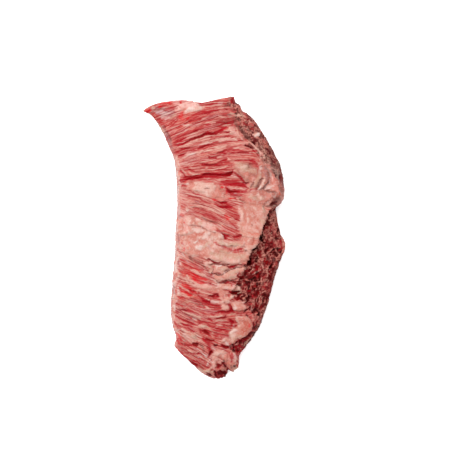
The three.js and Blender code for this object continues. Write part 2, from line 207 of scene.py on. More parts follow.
# Cracks between lumps of fat, and creases in the sheet (x, y, half width): sunk, and painted brown as shade
cracks = {
    "nodulesA": [
        (-22, 11.3, 0.4), (-19.5, 12, 0.7), (-15, 10.8, 0.5), (-11.5, 10.3, 0.8), (-9, 8.3, 0.6), (-5, 6.6, 0.5),
        (0, 5.4, 0.3), (2, 4.7, 0.8),
    ],
    "nodulesB": [(-11, 19.5, 0.5), (-8, 17.6, 0.9), (-5, 15.8, 0.9), (0, 15.1, 0.9), (4, 14.3, 0.9), (7, 12.2, 0.6)],
    "lumpLeft": [(0, -28, 0.5), (0.5, -33, 0.6)],
    "lumpUnder": [(4, -35, 0.6), (9, -35.2, 0.6), (13, -32.2, 0.6), (17, -29.8, 0.5)],
    "patchEnd": [(-23, -18, 0.8), (-19, -20, 0.9), (-16, -21.8, 0.7), (-12, -23.6, 0.8), (-9, -24.6, 0.6)],
    "columnEdge": [(-9, -26.5, 0.5), (-5, -31, 0.6), (-2, -35.4, 0.9), (0, -33, 0.5)],
    "patchSpot": [(-8, 46.3, 0.4), (-5.5, 46.6, 0.8), (-3, 46, 0.3)],
    "sheetLow": [(16, -8.3, 0.5), (18, -8.3, 0.5)],
}

# Single strands and stains over the grain, by colour and half width, thinning towards their ends
strands = {
    "crimson": [
        (0.5, [
            [(-36, 87), (-32, 87.4), (-28, 88)], [(-20, 108), (-15, 109.5), (-10, 110)], [(-36, 99.5),
            (-31, 100.2), (-27, 101)], [(-34, 103.2), (-29, 104.2)], [(-13, 106), (-8, 107), (-2, 108)],
            [(1, 105.2), (4, 105.4)], [(0, 121), (4, 120.5), (8, 121.5)], [(3, 111.5), (7, 112.5),
            (11, 113)], [(-4, 92.5), (-1, 94.3), (3, 94.8)], [(8, 95), (14, 96), (21, 95.2)], [(3, 90.5),
            (9, 90), (15, 90.3), (20, 89.8)], [(-13, 90.5), (-8, 91.7), (-4, 93)], [(5, 86.6), (12, 88),
            (18, 88.2)], [(-13, 79.8), (-7, 80.5), (-2, 81)], [(-3, 79), (3, 79.8), (7, 80)], [(30, 85),
            (35, 84.2)], [(-24, 72), (-18, 72.4), (-12, 73.5)], [(-20, 67.5), (-14, 67.8), (-9, 66.5)],
            [(-16, 64.8), (-10, 65)], [(4, 63.2), (8, 62.4), (11, 62.8)], [(-10, 24), (-5, 21.6), (0, 19.2),
            (5, 17), (10, 14)], [(-14, -105), (-10, -109), (-7, -114)],
        ]),
        (0.6, [
            [(-42, 104.5), (-38, 106.5), (-34, 110), (-32.5, 112.5)], [(-40, 107.5), (-36, 110.5),
            (-33, 114)], [(-36, 92), (-31, 93.8), (-28, 95.2)], [(-29, 95.8), (-24, 97.6), (-20, 99.6),
            (-16, 101.2), (-12, 102.5), (-7, 104.5)], [(-29, 80.8), (-24, 82.6), (-19, 82.6), (-14, 83.5)],
            [(-26, 111.5), (-21, 113), (-17, 114.5), (-12, 115.5)], [(-25, 108.5), (-22, 110.2),
            (-19, 111.5)], [(-22, 115.3), (-17, 117), (-12, 119), (-7, 119.3)], [(-6, 111), (-3, 112),
            (0, 113)], [(-6, 116.4), (-2, 117)], [(-12, 125.2), (-6, 124.6), (-2, 125.8), (1, 126.3)],
            [(13.5, 114.5), (15.5, 112.5)], [(16, 83.5), (22, 84), (28, 83.4)], [(36.5, 85.5), (39, 82),
            (42, 79)], [(-32, 64), (-29, 61.5), (-26, 58.6), (-24, 57)], [(-30, 68), (-26, 66.8),
            (-22, 65.4), (-18, 63), (-13, 61.6)], [(-31, 56.5), (-28, 55), (-25, 55)], [(1, 63.7),
            (5, 64.5), (9, 65.2), (14, 66.6), (18, 68)], [(-28, 45), (-24, 45), (-20, 43), (-16, 41),
            (-12, 40)], [(-12, 36), (-8, 34), (-3, 32.2)], [(-20, 33), (-15, 31.4), (-10, 31), (-5, 28.6)],
            [(-20, 28.4), (-15, 28), (-10, 26.8), (-5, 24.6), (0, 22)], [(17, 20.6), (21, 18),
            (25.5, 15.5)], [(14, 16), (18, 13.5), (21, 10), (22.5, 7.5)], [(16, -1.5), (20, -2.4),
            (24, -1.6)], [(19, 54.6), (24, 53), (28, 51.5)], [(20, 50.2), (25, 49), (29, 48.5)],
            [(16, 34.5), (20, 33), (23, 30.5)], [(-16, -67), (-12, -68.6), (-8, -70)], [(-31, -71),
            (-25, -73.2), (-19, -75.5), (-14, -77.6), (-9, -79.8), (-4, -82.6)], [(-31, -81), (-26, -83),
            (-22, -84.6)], [(-5, -75.8), (-2, -78), (0, -80.5)], [(-3, -72), (2, -73)], [(-26, -109),
            (-20, -112), (-14, -113.5)],
        ]),
        (0.7, [
            [(-35, 90.4), (-31, 91), (-27, 92.4), (-24, 93)], [(40, 76.5), (43, 73.5), (45.5, 70.5)],
            [(-29, 38), (-25, 38.6), (-22, 39.4), (-18, 38.4), (-13, 37.8)], [(4, 22), (9, 19.4),
            (13, 17.6)], [(7, 12.2), (11, 9), (15, 6.9), (20, 5.3), (25, 3)], [(-19, -22), (-15, -24.2),
            (-11, -26), (-8, -28), (-5, -30.2)], [(-17, -53), (-13, -55.5), (-10, -58.5)], [(2, -81.2),
            (6, -80.4), (11, -81), (15, -79.8)], [(1, -83.4), (6, -84.6), (11, -84), (16, -84.4)],
            [(0, -87), (5, -88.5), (10, -87.5), (14, -86)], [(-33, -99), (-28, -102.6), (-22, -103.6)],
        ]),
        (0.8, [
            [(3, 122.5), (5, 122.6)], [(-21, -57.4), (-17, -59), (-14, -61.4), (-11, -64), (-8, -66.8)],
            [(-20.5, -61), (-15.5, -63), (-12, -66)], [(-36, -62.3), (-33, -63.5), (-28, -64.2),
            (-22, -66.2), (-17, -68.6), (-11, -70.6), (-6, -73)], [(-34, -75), (-30, -77.5), (-24, -79.6),
            (-18, -81.6), (-14, -82), (-10, -80.6)], [(-30, -104.3), (-24, -107.8), (-18, -110.6),
            (-11, -110.6)], [(-16, -117), (-13, -119), (-12, -122)],
        ]),
        (0.9, [
            [(-19, 101.3), (-16.5, 101.6), (-14, 102.6)], [(-15, -51.2), (-10, -51.3), (-6, -52.3)],
        ]),
        (1, [
            [(-37, -67.2), (-34, -68.2), (-29, -69), (-24, -69.2), (-19, -70.6), (-13, -72.8)], [(-34, -83),
            (-29, -84.8), (-24, -86.2), (-19, -88.2), (-15, -90.2)], [(-12, -124), (-9, -125.4)],
        ]),
        (1.4, [
            [(18.8, 132), (19.2, 128)],
        ]),
        (2, [
            [(-6, -130), (-2, -131)],
        ]),
    ],
    "cream": [
        (0.6, [
            [(-35, 89.3), (-30, 90.4), (-26, 92)], [(-30, 65.8), (-28, 63.4), (-25.5, 61.3)],
        ]),
        (0.7, [
            [(-36, 97.2), (-31, 99.6), (-26, 101)], [(-15, 71), (-8, 72), (-1, 73.3), (4, 75)],
            [(-20, 29.6), (-15, 29.4), (-11, 28.6)], [(17, 19), (20.5, 17.2)], [(-28, -80.2), (-23, -82)],
            [(-9, -91.8), (-5, -94.2)], [(3, -82.6), (8, -82.8)],
        ]),
        (0.8, [
            [(42, 80), (45, 76.5), (47, 72.5)], [(1, 118), (5, 119)], [(19, 117.5), (24, 116.3), (28, 115),
            (32, 114)], [(3, 55), (8, 54.8), (13, 54.6)], [(-20, 40.3), (-15, 39.3)], [(4, 16.6), (8, 14.2),
            (12, 12)], [(-21, -30.4), (-15, -32.8), (-9, -34.6), (-5, -36)], [(-20, -77), (-15, -79.3)],
            [(3, -79), (9, -79.3), (13, -78.4)], [(16, 125.5), (18, 129)], [(5, -125), (9, -124.4),
            (13, -125)],
        ]),
        (0.9, [
            [(-13, 87.6), (-8, 89.1), (-4, 90.2), (0, 91.6)], [(36.5, 83.5), (40, 79.3), (43, 75.8),
            (45, 73)], [(-12, 112), (-7, 113)], [(-7, 108.5), (-2, 109.3), (3, 109.8)], [(-23.5, 63.8),
            (-21.5, 61.4), (-17, 60.4), (-12, 60.2)], [(-27, 68.4), (-21, 69), (-17, 69.6)], [(8, 66.8),
            (11, 67.4), (14, 68.8)], [(15, 48.2), (20, 47.3), (25, 46.6), (28.5, 46.5)], [(13, -0.6),
            (17, -0.3), (20, 0)], [(-33, -72), (-27, -74.6), (-21, -77)], [(4, -75), (9, -74.6)],
            [(-26, -105.4), (-20, -108.2), (-14, -108.6), (-11.5, -107.2)],
        ]),
        (1, [
            [(-28, 105.6), (-24, 106.6), (-19, 106.4)],
        ]),
        (1.1, [
            [(5, 115.4), (9, 114.6), (12, 115)], [(-7, 65.8), (-4.5, 67)], [(14.5, 57), (17, 57.2),
            (20, 56.6)], [(5, 12.6), (9, 9.8), (13, 7.6), (18, 5.2), (22, 4)], [(-8, -64.4), (-4, -67.4),
            (0.5, -67.4)],
        ]),
        (1.2, [
            [(-27, 96.3), (-20, 98.6), (-13, 100.9), (-8, 102)], [(-26, -60.5), (-21, -61.5), (-15, -64)],
            [(-35, -65.7), (-30, -66.6), (-25, -66.6)], [(-13, -107), (-8, -112), (-4, -116),
            (-4.5, -121.5)],
        ]),
        (1.4, [
            [(14, 76.5), (16, 73.6), (20, 72.6)], [(-8, 32), (-3, 29.4), (1, 26.8), (5, 24.4),
            (10.5, 22.8)], [(-29.5, -53.2), (-27, -55), (-22, -57)], [(-58, 122.5), (-56, 123)],
        ]),
        (1.6, [
            [(-27, 78.6), (-20, 79.2), (-14, 80.6), (-7, 82.4), (0, 84.4), (6, 86.3), (12, 87.6)],
            [(4, 96.4), (9, 98.2), (15, 99), (21, 98.4)], [(6, 92), (14, 93.6), (23, 92.8)], [(-25, -36),
            (-22, -39.5), (-19.5, -43)],
        ]),
        (1.7, [
            [(-1, -60.8), (5, -61.4)],
        ]),
    ],
    "blood": [
        (0.7, [
            [(20, -14.3), (27, -14.3)],
        ]),
        (0.8, [
            [(-25, 112), (-22, 114)], [(-31.3, 127), (-30.6, 129)], [(-15, 54.4), (-10, 54), (-5, 53.3),
            (0, 52.8)], [(-1, 37.4), (1, 36), (4, 35)], [(-5, -104.4), (-2, -106)], [(-29.5, 28.5),
            (-28.5, 28)], [(-32, 43.6), (-31, 41)], [(-29, 73.8), (-27.6, 73.4)],
        ]),
        (0.9, [
            [(-50, 127), (-44, 128.6), (-38.5, 128.4)], [(-30.2, 16), (-29.8, 15)], [(-27.2, 15.5),
            (-26.8, 14.5)],
        ]),
        (1, [
            [(-51, 123.5), (-50, 125)], [(6, 50.6), (12, 50.1), (18, 49.8), (24, 49.6)], [(16, -110),
            (17, -114), (19, -119)], [(65.5, -8), (65, -12)], [(-27.3, -10), (-27, -12)],
        ]),
        (1.1, [
            [(-64, 119.6), (-61, 120), (-58, 120.6)], [(4, 100.6), (8, 102.4), (11, 103.6), (15, 104)],
            [(2, -5.5), (7, -8.3), (11, -9.4), (17, -10.8), (22, -11.4), (28, -11.6)], [(-34, -56.4),
            (-31, -58), (-27, -57.6)],
        ]),
        (1.2, [
            [(-32, 112), (-31.2, 115), (-30, 118), (-29, 120)], [(12, 49), (13.5, 46), (13, 42),
            (13, 39.5)], [(14.5, 37.5), (18, 37.4), (22, 36.6)], [(-37.5, -80), (-35, -85)], [(-10, -95.5),
            (-8.5, -98), (-6, -100.5)],
        ]),
        (1.3, [
            [(-30, -20), (-28, -23), (-22, -26), (-18, -28.5), (-14, -30.5), (-9, -31.6)], [(-27, -30),
            (-22, -32), (-18, -35), (-14, -38), (-10, -39.2), (-5, -40)], [(-24, -34.4), (-19, -37.6),
            (-15, -41), (-12, -42.6), (-8, -44)], [(-36, -90), (-33, -94), (-31, -98)], [(35, 108.3),
            (38.5, 107)],
        ]),
        (1.4, [
            [(-29, -35.4), (-26.5, -35.6)],
        ]),
        (1.5, [
            [(-30, 112.3), (-27, 113.4)],
        ]),
        (1.6, [
            [(8.2, 47.2), (9.4, 47.4)],
        ]),
        (1.7, [
            [(-35, -105), (-29, -110.4), (-24, -114.4), (-19, -118.6), (-15, -121.6)],
        ]),
        (1.8, [
            [(11, 21), (14, 18.5), (16, 17.5)],
        ]),
        (2, [
            [(-31, -49), (-27, -51), (-22, -53.8)],
        ]),
        (2.2, [
            [(-30, -44.6), (-25, -46.6), (-21, -50), (-16, -52.6)],
        ]),
    ],
    "red": [
        (0.8, [
            [(-33.5, 5), (-33, 0), (-33.2, -4)], [(-33.6, -9), (-33.6, -13)], [(-35, -41), (-34.6, -47),
            (-35.2, -53)],
        ]),
        (0.9, [
            [(-36, -34), (-35.4, -38)],
        ]),
        (1, [
            [(-43, 123.6), (-37, 123.8)],
        ]),
        (1.6, [
            [(22, 72.5), (29, 71.4), (36, 69), (42.5, 66)],
        ]),
        (2, [
            [(35, 73.6), (39, 72.5), (42, 69)],
        ]),
        (2.4, [
            [(12, 1.5), (18, 2), (24, 0)], [(-60, 118.5), (-54, 114), (-49, 109.5), (-45, 105.5)],
        ]),
        (2.6, [
            [(6, 30.5), (12, 31), (18, 30)], [(15, -79), (18, -82), (16, -86), (12, -90)],
        ]),
        (3, [
            [(-12, -89), (-7, -90), (-2, -91)],
        ]),
        (3.4, [
            [(19, 55), (25, 51), (29, 48)],
        ]),
    ],
    "mauve": [
        (1, [
            [(-33, -21), (-33, -26)], [(-18, 35), (-12, 33.6)],
        ]),
        (1.3, [
            [(-49, 108), (-46, 102), (-43, 95), (-40, 89), (-38.5, 85)],
        ]),
        (1.4, [
            [(-54, 122), (-49, 122.4), (-45, 121)],
        ]),
        (3, [
            [(-55, 119.5), (-48, 118), (-42, 117.5), (-37, 118.5)],
        ]),
    ],
}

# The hollows between the lumps of the rough flank, sunk and painted black as shadow (x, y, half width)
hollows = [
    (58, 33, 2.2), (60.5, 34.5, 1.2), (55, 30, 1.6), (52.5, 25, 1.8), (51, 21, 1.6), (49.7, 15, 1.4), (48.5, 9, 1.1),
    (33.5, -14.5, 1.5), (25, -36.5, 1.4), (22.5, -58.8, 1.6), (29, -95.8, 1.6), (22, -99.5, 1.2), (21, -121.2, 1.3),
    (10.3, -116.8, 1), (12.5, -130.5, 1.4), (2.5, -128.5, 1.3), (39, 90.5, 1.1), (17.5, 121.5, 1.4), (14, 128, 1.1),
]

# Colours that differ over a stretch: (colour, share, points (x, y, radius), how soft its edge is)
washes = [
    ("brown", 0.55, [(2, 110, 3), (12, 110, 5), (20, 110, 5)], 4),
    ("brown", 0.35, [(-5, 127, 2), (6, 128, 3), (14, 126, 3)], 3),
    ("red", 0.45, [(-60, 119, 2), (-52, 112, 4), (-46, 105, 3)], 3),
    ("lilac", 0.5, [(-53, 120, 4), (-44, 118, 6), (-38, 117, 4)], 4),
    ("pink", 0.35, [(-26, 74, 5), (-10, 76, 6), (8, 77, 6)], 5),
    ("amber", 0.3, [(-30, -25, 5), (-20, -35, 8), (-22, -50, 8)], 6),
    ("cream", 0.35, [(-8, 34, 5), (2, 26, 6), (8, 20, 5)], 5),
    ("red", 0.4, [(12, 34, 3), (18, 31, 4)], 3),
    ("crimson", 0.6, [(12, 54, 3), (20, 51, 4), (28, 47, 4)], 3),
    ("crimson", 0.5, [(-22, 56.5, 1.5), (-4, 59.5, 2), (14, 60.5, 2.5)], 1.5),
    ("fatPink", 0.7, [(-31, 22, 3), (-31, 4, 3.5), (-31, -14, 3)], 2),
    ("red", 0.35, [(14, -80, 4), (6, -88, 6), (-4, -92, 5)], 5),
    ("amber", 0.4, [(-26, -107, 5), (-16, -114, 6), (-10, -104, 5)], 6),
]
fatTints = {
    "folds": "fatRosy",
    "nodules": "fatPale",
    "tongue": "fatPale",
    "big": "fatRosy",
    "egg": "fatRosy",
    "tailLobe": "fatRosy",
    "tailA": "fatRosy",
    "tailB": "fatRosy",
    "midPatch": "fatPale",
    "topEnd": "milk",
    "columnA": "fatPale",
    "columnB": "fatPale",
    "leftPatch": "fatPale",
    "lens": "fatPale",
    "gristle": "milk",
}
# Single patches and threads: colour, share, rise and strokes (x, y, half width); later ones lie over
daubs = [
    ("mauve", 0.65, -0.4, [
        [(50, 66, 1.6), (51, 62, 2.5), (52, 57, 2), (53, 52, 1.2)], [(-33.4, 4, 0.6), (-32.8, -1, 0.7),
        (-32.4, -6, 0.6)], [(-33, -20, 0.5), (-33, -26, 0.6)], [(-37, -45, 0.5), (-37.2, -50, 0.7),
        (-36, -54.4, 0.6)],
    ]),
    ("mauve", 0.65, 0, [
        [(-56, 122, 3), (-49, 120, 4), (-43, 117, 4), (-38, 118, 3)], [(-45.5, 98, 1), (-43, 96, 1.4),
        (-40, 91, 1.4), (-39, 86, 1.2)], [(9.4, -105.6, 1), (11.4, -106, 1)], [(-24, -77, 1),
        (-20.4, -78.8, 1.1), (-17.6, -80.4, 0.7)], [(2, 93.4, 0.4), (7, 94.6, 0.5), (11, 95.4, 0.4)],
    ]),
    ("mauve", 0.92, 0, [
        [(-49, 118, 1.8), (-44, 117, 2), (-40, 115, 1.4)],
    ]),
    ("lilac", 0.65, 0, [
        [(6, 128, 1.4), (8, 128, 1.6)], [(-32.6, -7.6, 0.6), (-31, -10, 0.7)], [(-32.6, 30, 0.9),
        (-32, 24, 1), (-31.6, 18, 0.8)], [(-25, -22, 1.2), (-22.4, -23.6, 0.8)], [(-13.4, -27.4, 0.9),
        (-11, -28.4, 0.9)], [(-23.4, -84.6, 0.5), (-20.4, -86, 0.5), (-18.4, -87.4, 0.4)],
        [(8.4, -97.6, 0.8), (10.6, -96.2, 0.7)], [(20, -83.6, 0.7), (19, -86, 0.7)], [(-18.4, -105.6, 0.8),
        (-14, -106, 1)], [(-6, 56.2, 0.6), (-2, 56.4, 0.9), (2.6, 56.6, 0.6)], [(30.6, -11, 0.8),
        (31.4, -12.4, 0.8)],
    ]),
    ("lilac", 0.65, 0.4, [
        [(-4, -8, 1.2), (-2.6, -10.6, 1.1)], [(58.4, -20.4, 0.6), (58.8, -22.4, 0.4)], [(38.2, -25.4, 0.4),
        (38.6, -27.4, 0.5)], [(15.6, -104.8, 0.6), (17, -102.2, 0.7)],
    ]),
    ("lilac", 0.92, 0, [
        [(-53, 120, 2), (-49, 119, 2.2), (-44, 117, 2.4), (-38, 118, 1.3)], [(-18.6, -76.6, 0.5),
        (-16, -77.6, 0.5)], [(-14.6, -114.4, 0.7), (-11.4, -113, 0.8)], [(20.2, 41, 0.5),
        (22.4, 41.8, 0.6)], [(6, -117.4, 1.1), (9, -118, 1)],
    ]),
    ("lilac", 0.92, 0.4, [
        # the lilac stroke at x 44.8 to 46.6, y 65.4 to 66.8 is a painted highlight on the folds
        [(36.6, -66.8, 0.4), (36.4, -69.2, 0.5)], [(44.8, 66.8, 0.8), (46.6, 65.4, 0.8)],
        [(12.4, -99.4, 0.9), (14, -101.6, 0.8)],
    ]),
    ("red", 0.65, -0.4, [
        [(-60, 119, 1.3), (-56, 117, 1.7), (-54, 114, 1.8), (-49, 110, 1.7), (-46, 108, 1.5)],
        [(13, 130, 2), (14, 126, 2.6), (16, 122, 2.4), (21, 121, 2)], [(-29, -5.2, 0.7),
        (-27.8, -6.2, 0.8)], [(5.4, -24.2, 0.5), (7.2, -23.2, 0.7)], [(14.6, -2, 0.5), (19, -2, 0.7),
        (24.6, -2, 0.7)], [(22, -33.8, 0.7), (25, -33, 0.6)], [(10, -55.6, 0.6), (10.4, -57.6, 0.6)],
        [(1.6, -66.8, 0.4), (5, -67.4, 0.5), (8.6, -66.6, 0.4)], [(-33, -100.4, 0.3), (-29, -104, 0.5),
        (-23, -106.4, 0.4)], [(21.4, 9.6, 0.8), (22.4, 7.8, 0.6)],
    ]),
    ("red", 0.65, 0, [
        [(10, 83.2, 0.9), (16, 83.8, 1.1), (24, 83.2, 1.1), (31, 82.2, 0.8)], [(30, 73.6, 1), (36, 73, 1.8),
        (41, 69, 1.7), (43.6, 65.6, 1)],
    ]),
    ("red", 0.92, -0.4, [
        [(1.6, -4.4, 0.4), (5, -7, 0.7), (8.6, -8.2, 1), (12.4, -10, 0.8), (17, -11, 1), (22, -12, 1.2),
        (27, -11.4, 1)], [(17, -14, 0.4), (21, -14.4, 0.6), (27.6, -13.8, 0.5)], [(18, -44.8, 0.8),
        (18.8, -46.2, 0.8)], [(-35, -62.4, 0.4), (-32.4, -63.8, 0.7), (-26, -65, 0.5), (-22, -66.4, 0.6),
        (-18.6, -69, 0.6)], [(-7.6, -116.6, 0.6), (-7.2, -119.4, 1)], [(35, 70.4, 0.6), (39.4, 69.6, 1),
        (43, 66.6, 1.1)],
    ]),
    ("red", 0.92, 0, [
        [(-31, -21, 0.7), (-29, -23, 1.3), (-26, -26, 1.3), (-22, -27, 1.3), (-18.6, -28.6, 0.7)],
        [(-36.4, -80, 0.9), (-34, -84, 1.3), (-29.4, -84.8, 0.7), (-24.6, -87.2, 0.7), (-19, -89.6, 0.8)],
        [(25.4, 124, 0.8), (30.4, 117, 0.8), (32, 114.6, 0.6)], [(-33, -96, 1.2), (-30.6, -98.6, 0.7)],
        [(-9.4, -97.6, 1.1), (-7, -100.6, 0.9), (-4, -101.8, 0.8)], [(-5, -105, 1.4), (-3, -107, 1.2)],
        [(15.8, -110.2, 0.9), (17.6, -113, 0.7), (18, -116.4, 0.4)], [(-11, 68.8, 0.8), (-5, 69, 1.3),
        (1, 68, 1.3), (7, 69.2, 1.1), (12, 70.6, 0.7)], [(-2, 56.6, 0.8), (6, 57, 1.3), (14, 57, 1.5),
        (21, 56, 1.4), (25, 54, 1.2)], [(-26, 103.8, 0.6), (-20, 104, 0.8), (-14, 104.6, 0.7)],
        [(1, 8.6, 0.8), (5, 7, 1.3), (9, 5, 1.5), (11, 3, 1.6), (14, 1, 1.4)],
    ]),
    ("red", 0.92, 0.4, [
        [(41.4, -71, 0.6), (42.2, -73, 0.4)], [(33.8, 107.6, 0.8), (36.6, 107.4, 1.1), (38.8, 106.4, 0.7)],
    ]),
    ("salmon", 0.65, -0.4, [
        [(28.4, 31, 0.7), (28.2, 27, 0.6), (30, 25.6, 0.4), (30.4, 21, 0.4), (30.8, 16, 0.4),
        (31.6, 13, 0.3)],
    ]),
    ("salmon", 0.65, 0, [
        [(31, 60, 2), (35, 57, 2.4), (40, 55, 1.5)], [(28, 37, 1.6), (33, 36, 2.2), (37, 35, 1.6)],
        [(-31, 10.5, 0.8), (-30.6, 8.6, 0.7)], [(-27, 9, 0.9), (-26.4, 6.4, 0.9), (-24.8, 4.4, 0.8)],
        [(-18.6, 18.4, 1), (-19, 16.2, 1.1), (-20.6, 13.6, 0.9)], [(-15, -14, 1.7), (-11, -17, 2),
        (-7, -17, 1.5)], [(25, -67, 1.6), (28, -67, 1.5)], [(-27.4, -110.4, 0.5), (-24.4, -112.6, 0.6)],
        [(51, 38, 1.6), (54.4, 40, 0.8)], [(-24.6, 12.6, 0.9), (-22.4, 9.4, 1.1), (-21.6, 5.6, 0.9)],
        [(-18, 2.4, 1), (-12, 3, 1.1), (-8.6, 4.4, 0.8)], [(-19, -2, 1), (-13, -1.6, 1),
        (-10.6, -4.6, 0.9)], [(25, -76, 2), (30, -78, 3.2), (33, -83, 3), (32, -87, 2.2)], [(13, -117, 2.2),
        (17, -113, 2.6), (20, -119, 3.2), (19, -124, 2.2)],
    ]),
    ("salmon", 0.65, 0.4, [
        [(22.6, -100.6, 0.8), (23, -103, 0.7)],
    ]),
    ("salmon", 0.92, -0.4, [
        [(36, 26, 0.4), (38, 23.6, 0.6), (39.6, 20.6, 0.5), (40.4, 16, 0.5), (41.2, 11.4, 0.5),
        (42, 8, 0.7)],
    ]),
    ("salmon", 0.92, 0.4, [
        [(55.6, 60.4, 1.1), (58, 55, 2.6), (60, 48, 3.4), (63, 41, 2.8)], [(66.8, -1, 0.9), (67, -5, 1.2),
        (66.6, -8.6, 1.1)], [(36, 53.6, 1), (38, 56, 1.2)], [(0.4, -116.6, 0.5), (0.4, -119.6, 0.6),
        (1.6, -122.4, 0.9), (2, -124.2, 0.6)], [(13, -112, 1.3), (14, -115, 1.7), (16, -119, 2),
        (17, -123, 1.6)], [(19, -125.6, 1.1), (21.8, -124, 1)], [(66.2, -1.8, 0.8), (67.4, -5.6, 1),
        (67.2, -9.6, 1.1), (66, -13.6, 1)],
    ]),
    ("salmon", 0.92, 0.8, [
        [(13, -113, 2), (15, -118, 2.5), (18, -122, 2.2)], [(55.6, 59, 0.6), (56.6, 55.4, 1), (58, 52, 1.3),
        (59.6, 49.4, 1)],
    ]),
    ("rose", 0.65, -0.4, [
        [(3.4, -117, 0.6), (3.4, -120.6, 0.6)], [(-32.2, -41.2, 0.8), (-34.6, -44.6, 0.8),
        (-35, -49.6, 0.7), (-34.8, -53.6, 0.8)], [(34, 37, 1.2), (35.8, 33.8, 1)],
    ]),
    ("rose", 0.65, 0, [
        [(34, 107.6, 1.1), (37, 107, 1.5)], [(-33.4, -10.6, 0.8), (-33.6, -12.6, 0.7)], [(-38, -60, 0.7),
        (-38.8, -66, 0.9)], [(43.8, -77.6, 1.1), (43, -83, 1.3), (40.6, -87.6, 1.1)], [(14, -116, 1.8),
        (18, -114, 2), (21, -119, 1.8)],
    ]),
    ("rose", 0.65, 0.4, [
        [(4.4, -129.2, 0.4), (7, -130.6, 0.5), (9.8, -130.4, 0.4)], [(39.4, -72.6, 1), (41, -76, 1.2),
        (40.2, -79.4, 0.9)],
    ]),
    ("rose", 0.92, 0, [
        [(-35, -35, 1.2), (-36.6, -38.4, 1)], [(1.8, -56.2, 0.5), (3, -56, 0.4)], [(-7.4, -118.2, 0.9),
        (-7, -120.2, 0.8)],
    ]),
    ("rose", 0.92, 0.4, [
        [(23, 125, 1.2), (25, 124, 1.6), (26, 121, 1)], [(55.6, 8, 0.8), (58.4, 5.4, 0.7),
        (60.4, 7.4, 0.6)], [(62.4, -3.4, 0.8), (61.4, -7.4, 0.7), (58.4, 0.6, 0.6)], [(46.4, 92.8, 0.7),
        (48.4, 91.4, 0.9)], [(36.2, 84, 0.4), (38.8, 80, 0.6), (41.2, 76.2, 0.7), (44, 72.6, 0.6)],
        [(4.6, -125, 0.5), (9, -124.4, 0.6), (13, -125, 0.5)], [(19.2, -111.8, 1), (20, -115.6, 1),
        (20.2, -119, 0.8)],
    ]),
    ("amber", 0.65, 0, [
        [(-30, 122, 1.2), (-28, 121, 1.8), (-24.5, 123.5, 0.8)], [(-22.5, 103.2, 0.8), (-20, 104, 1.5),
        (-17, 104.6, 0.8)], [(-28.3, 28.6, 0.9), (-28.8, 27.6, 0.9)], [(-30.6, 15.8, 0.7),
        (-30.2, 14.6, 0.7)], [(-22.2, -8.4, 0.9), (-20.8, -9.4, 0.8)], [(-22.6, -4, 0.8),
        (-24, -10.6, 0.8)], [(-22.4, -36.6, 0.8), (-21.4, -38.4, 1)], [(-29, -96, 0.5), (-28, -97, 0.5)],
        [(20.2, -92.4, 0.5), (21, -93.4, 0.5)], [(15, -119, 1.1), (17.6, -122.6, 1.1)],
    ]),
    ("amber", 0.65, 0.4, [
        [(-5, 11, 1.4), (0, 9, 2), (4, 9, 1.4)], [(36.2, -45, 0.4), (37, -49.2, 0.5)], [(5, -128.4, 0.5),
        (8.6, -127.6, 0.8), (11.6, -128.4, 0.5)],
    ]),
    ("amber", 0.92, -0.4, [
        [(34, 5.4, 0.5), (36.4, 3.8, 0.9), (40, 4, 0.8), (43, 2.8, 0.5)],
    ]),
    ("amber", 0.92, 0, [
        [(-29.4, -12.6, 0.4), (-27.8, -14.4, 0.6), (-26, -15.8, 0.4)], [(20.8, -47, 0.6), (21.6, -48, 0.5)],
        [(-28.4, -35.2, 0.8), (-26.6, -36, 0.8)], [(-25.2, -58.4, 0.6), (-25, -60.4, 0.7)],
        [(-37, -70.6, 0.7), (-36, -71.6, 0.7)], [(-36, -104.4, 0.6), (-33.4, -107, 0.5)],
    ]),
    ("amber", 0.92, 0.4, [
        [(28.6, -58, 0.6), (30.6, -57, 0.6)],
    ]),
    ("clay", 0.65, -0.4, [
        [(-15, 3.2, 1), (-12, 3, 1.2), (-9.4, 3.4, 1), (-8.6, 5.4, 0.7)], [(-22.6, 1.4, 0.8), (-19, 0.4, 1),
        # the clay stroke from x 42.4, y 9 to x 43.4, y -2 is painted shade on the sheet's right rim
        (-16, 0.2, 1), (-14.6, 2, 0.7)], [(42.4, 9, 0.7), (44.2, 6, 0.9), (44.6, 1.6, 0.9),
        (43.4, -2, 0.8)],
    ]),
    ("clay", 0.65, 0, [
        [(42.6, 17.4, 1), (41.8, 16, 0.6)], [(-27.4, 16.4, 0.7), (-26.8, 14.4, 0.8)], [(-29.6, 15, 0.6),
        (-29.2, 13.2, 0.6)], [(-29, 20.6, 0.6), (-26, 21.4, 0.7), (-22, 22.4, 0.6)], [(32, -79, 1),
        (34, -82, 1.3), (33.6, -85.6, 0.9)], [(33, 84, 0.5), (38, 79.6, 0.7), (42, 74.6, 0.7),
        (45, 69, 0.6)], [(44, 31, 0.8), (49, 32, 1.2), (53, 34.6, 1)],
    ]),
    ("clay", 0.92, -0.4, [
        [(28, 34.2, 0.4), (32, 32.4, 0.6), (37, 31.4, 0.7), (41.6, 31.2, 0.4), (46.6, 31.8, 0.5)],
        [(38.6, 0, 0.4), (38.2, -3.6, 0.7), (37.4, -7, 1)],
    ]),
    ("clay", 0.92, 0, [
        [(27, -78, 1.6), (31, -80, 2.4), (33, -84, 2.2), (29, -88, 2.4)], [(62, 49, 1.3), (64, 45, 1.6),
        (63, 40, 1.4)], [(50, 89, 1.2), (52.6, 86.2, 1.1)],
    ]),
    ("pink", 0.65, 0, [
        [(10.6, -83, 0.4), (13.4, -81.6, 0.5), (15.4, -81, 0.4)], [(1.4, -85.6, 0.4), (4.6, -84, 0.6),
        (8, -83.6, 0.5)], [(8, -98, 1.2), (11, -97, 1.2)], [(-5, 10, 1.2), (-1, 9, 1.3)],
    ]),
    ("pink", 0.65, 0.4, [
        [(4, -114, 1.8), (7, -118, 2.2)], [(3.4, -94.4, 0.6), (6.4, -93, 0.6)], [(54.4, -20, 0.6),
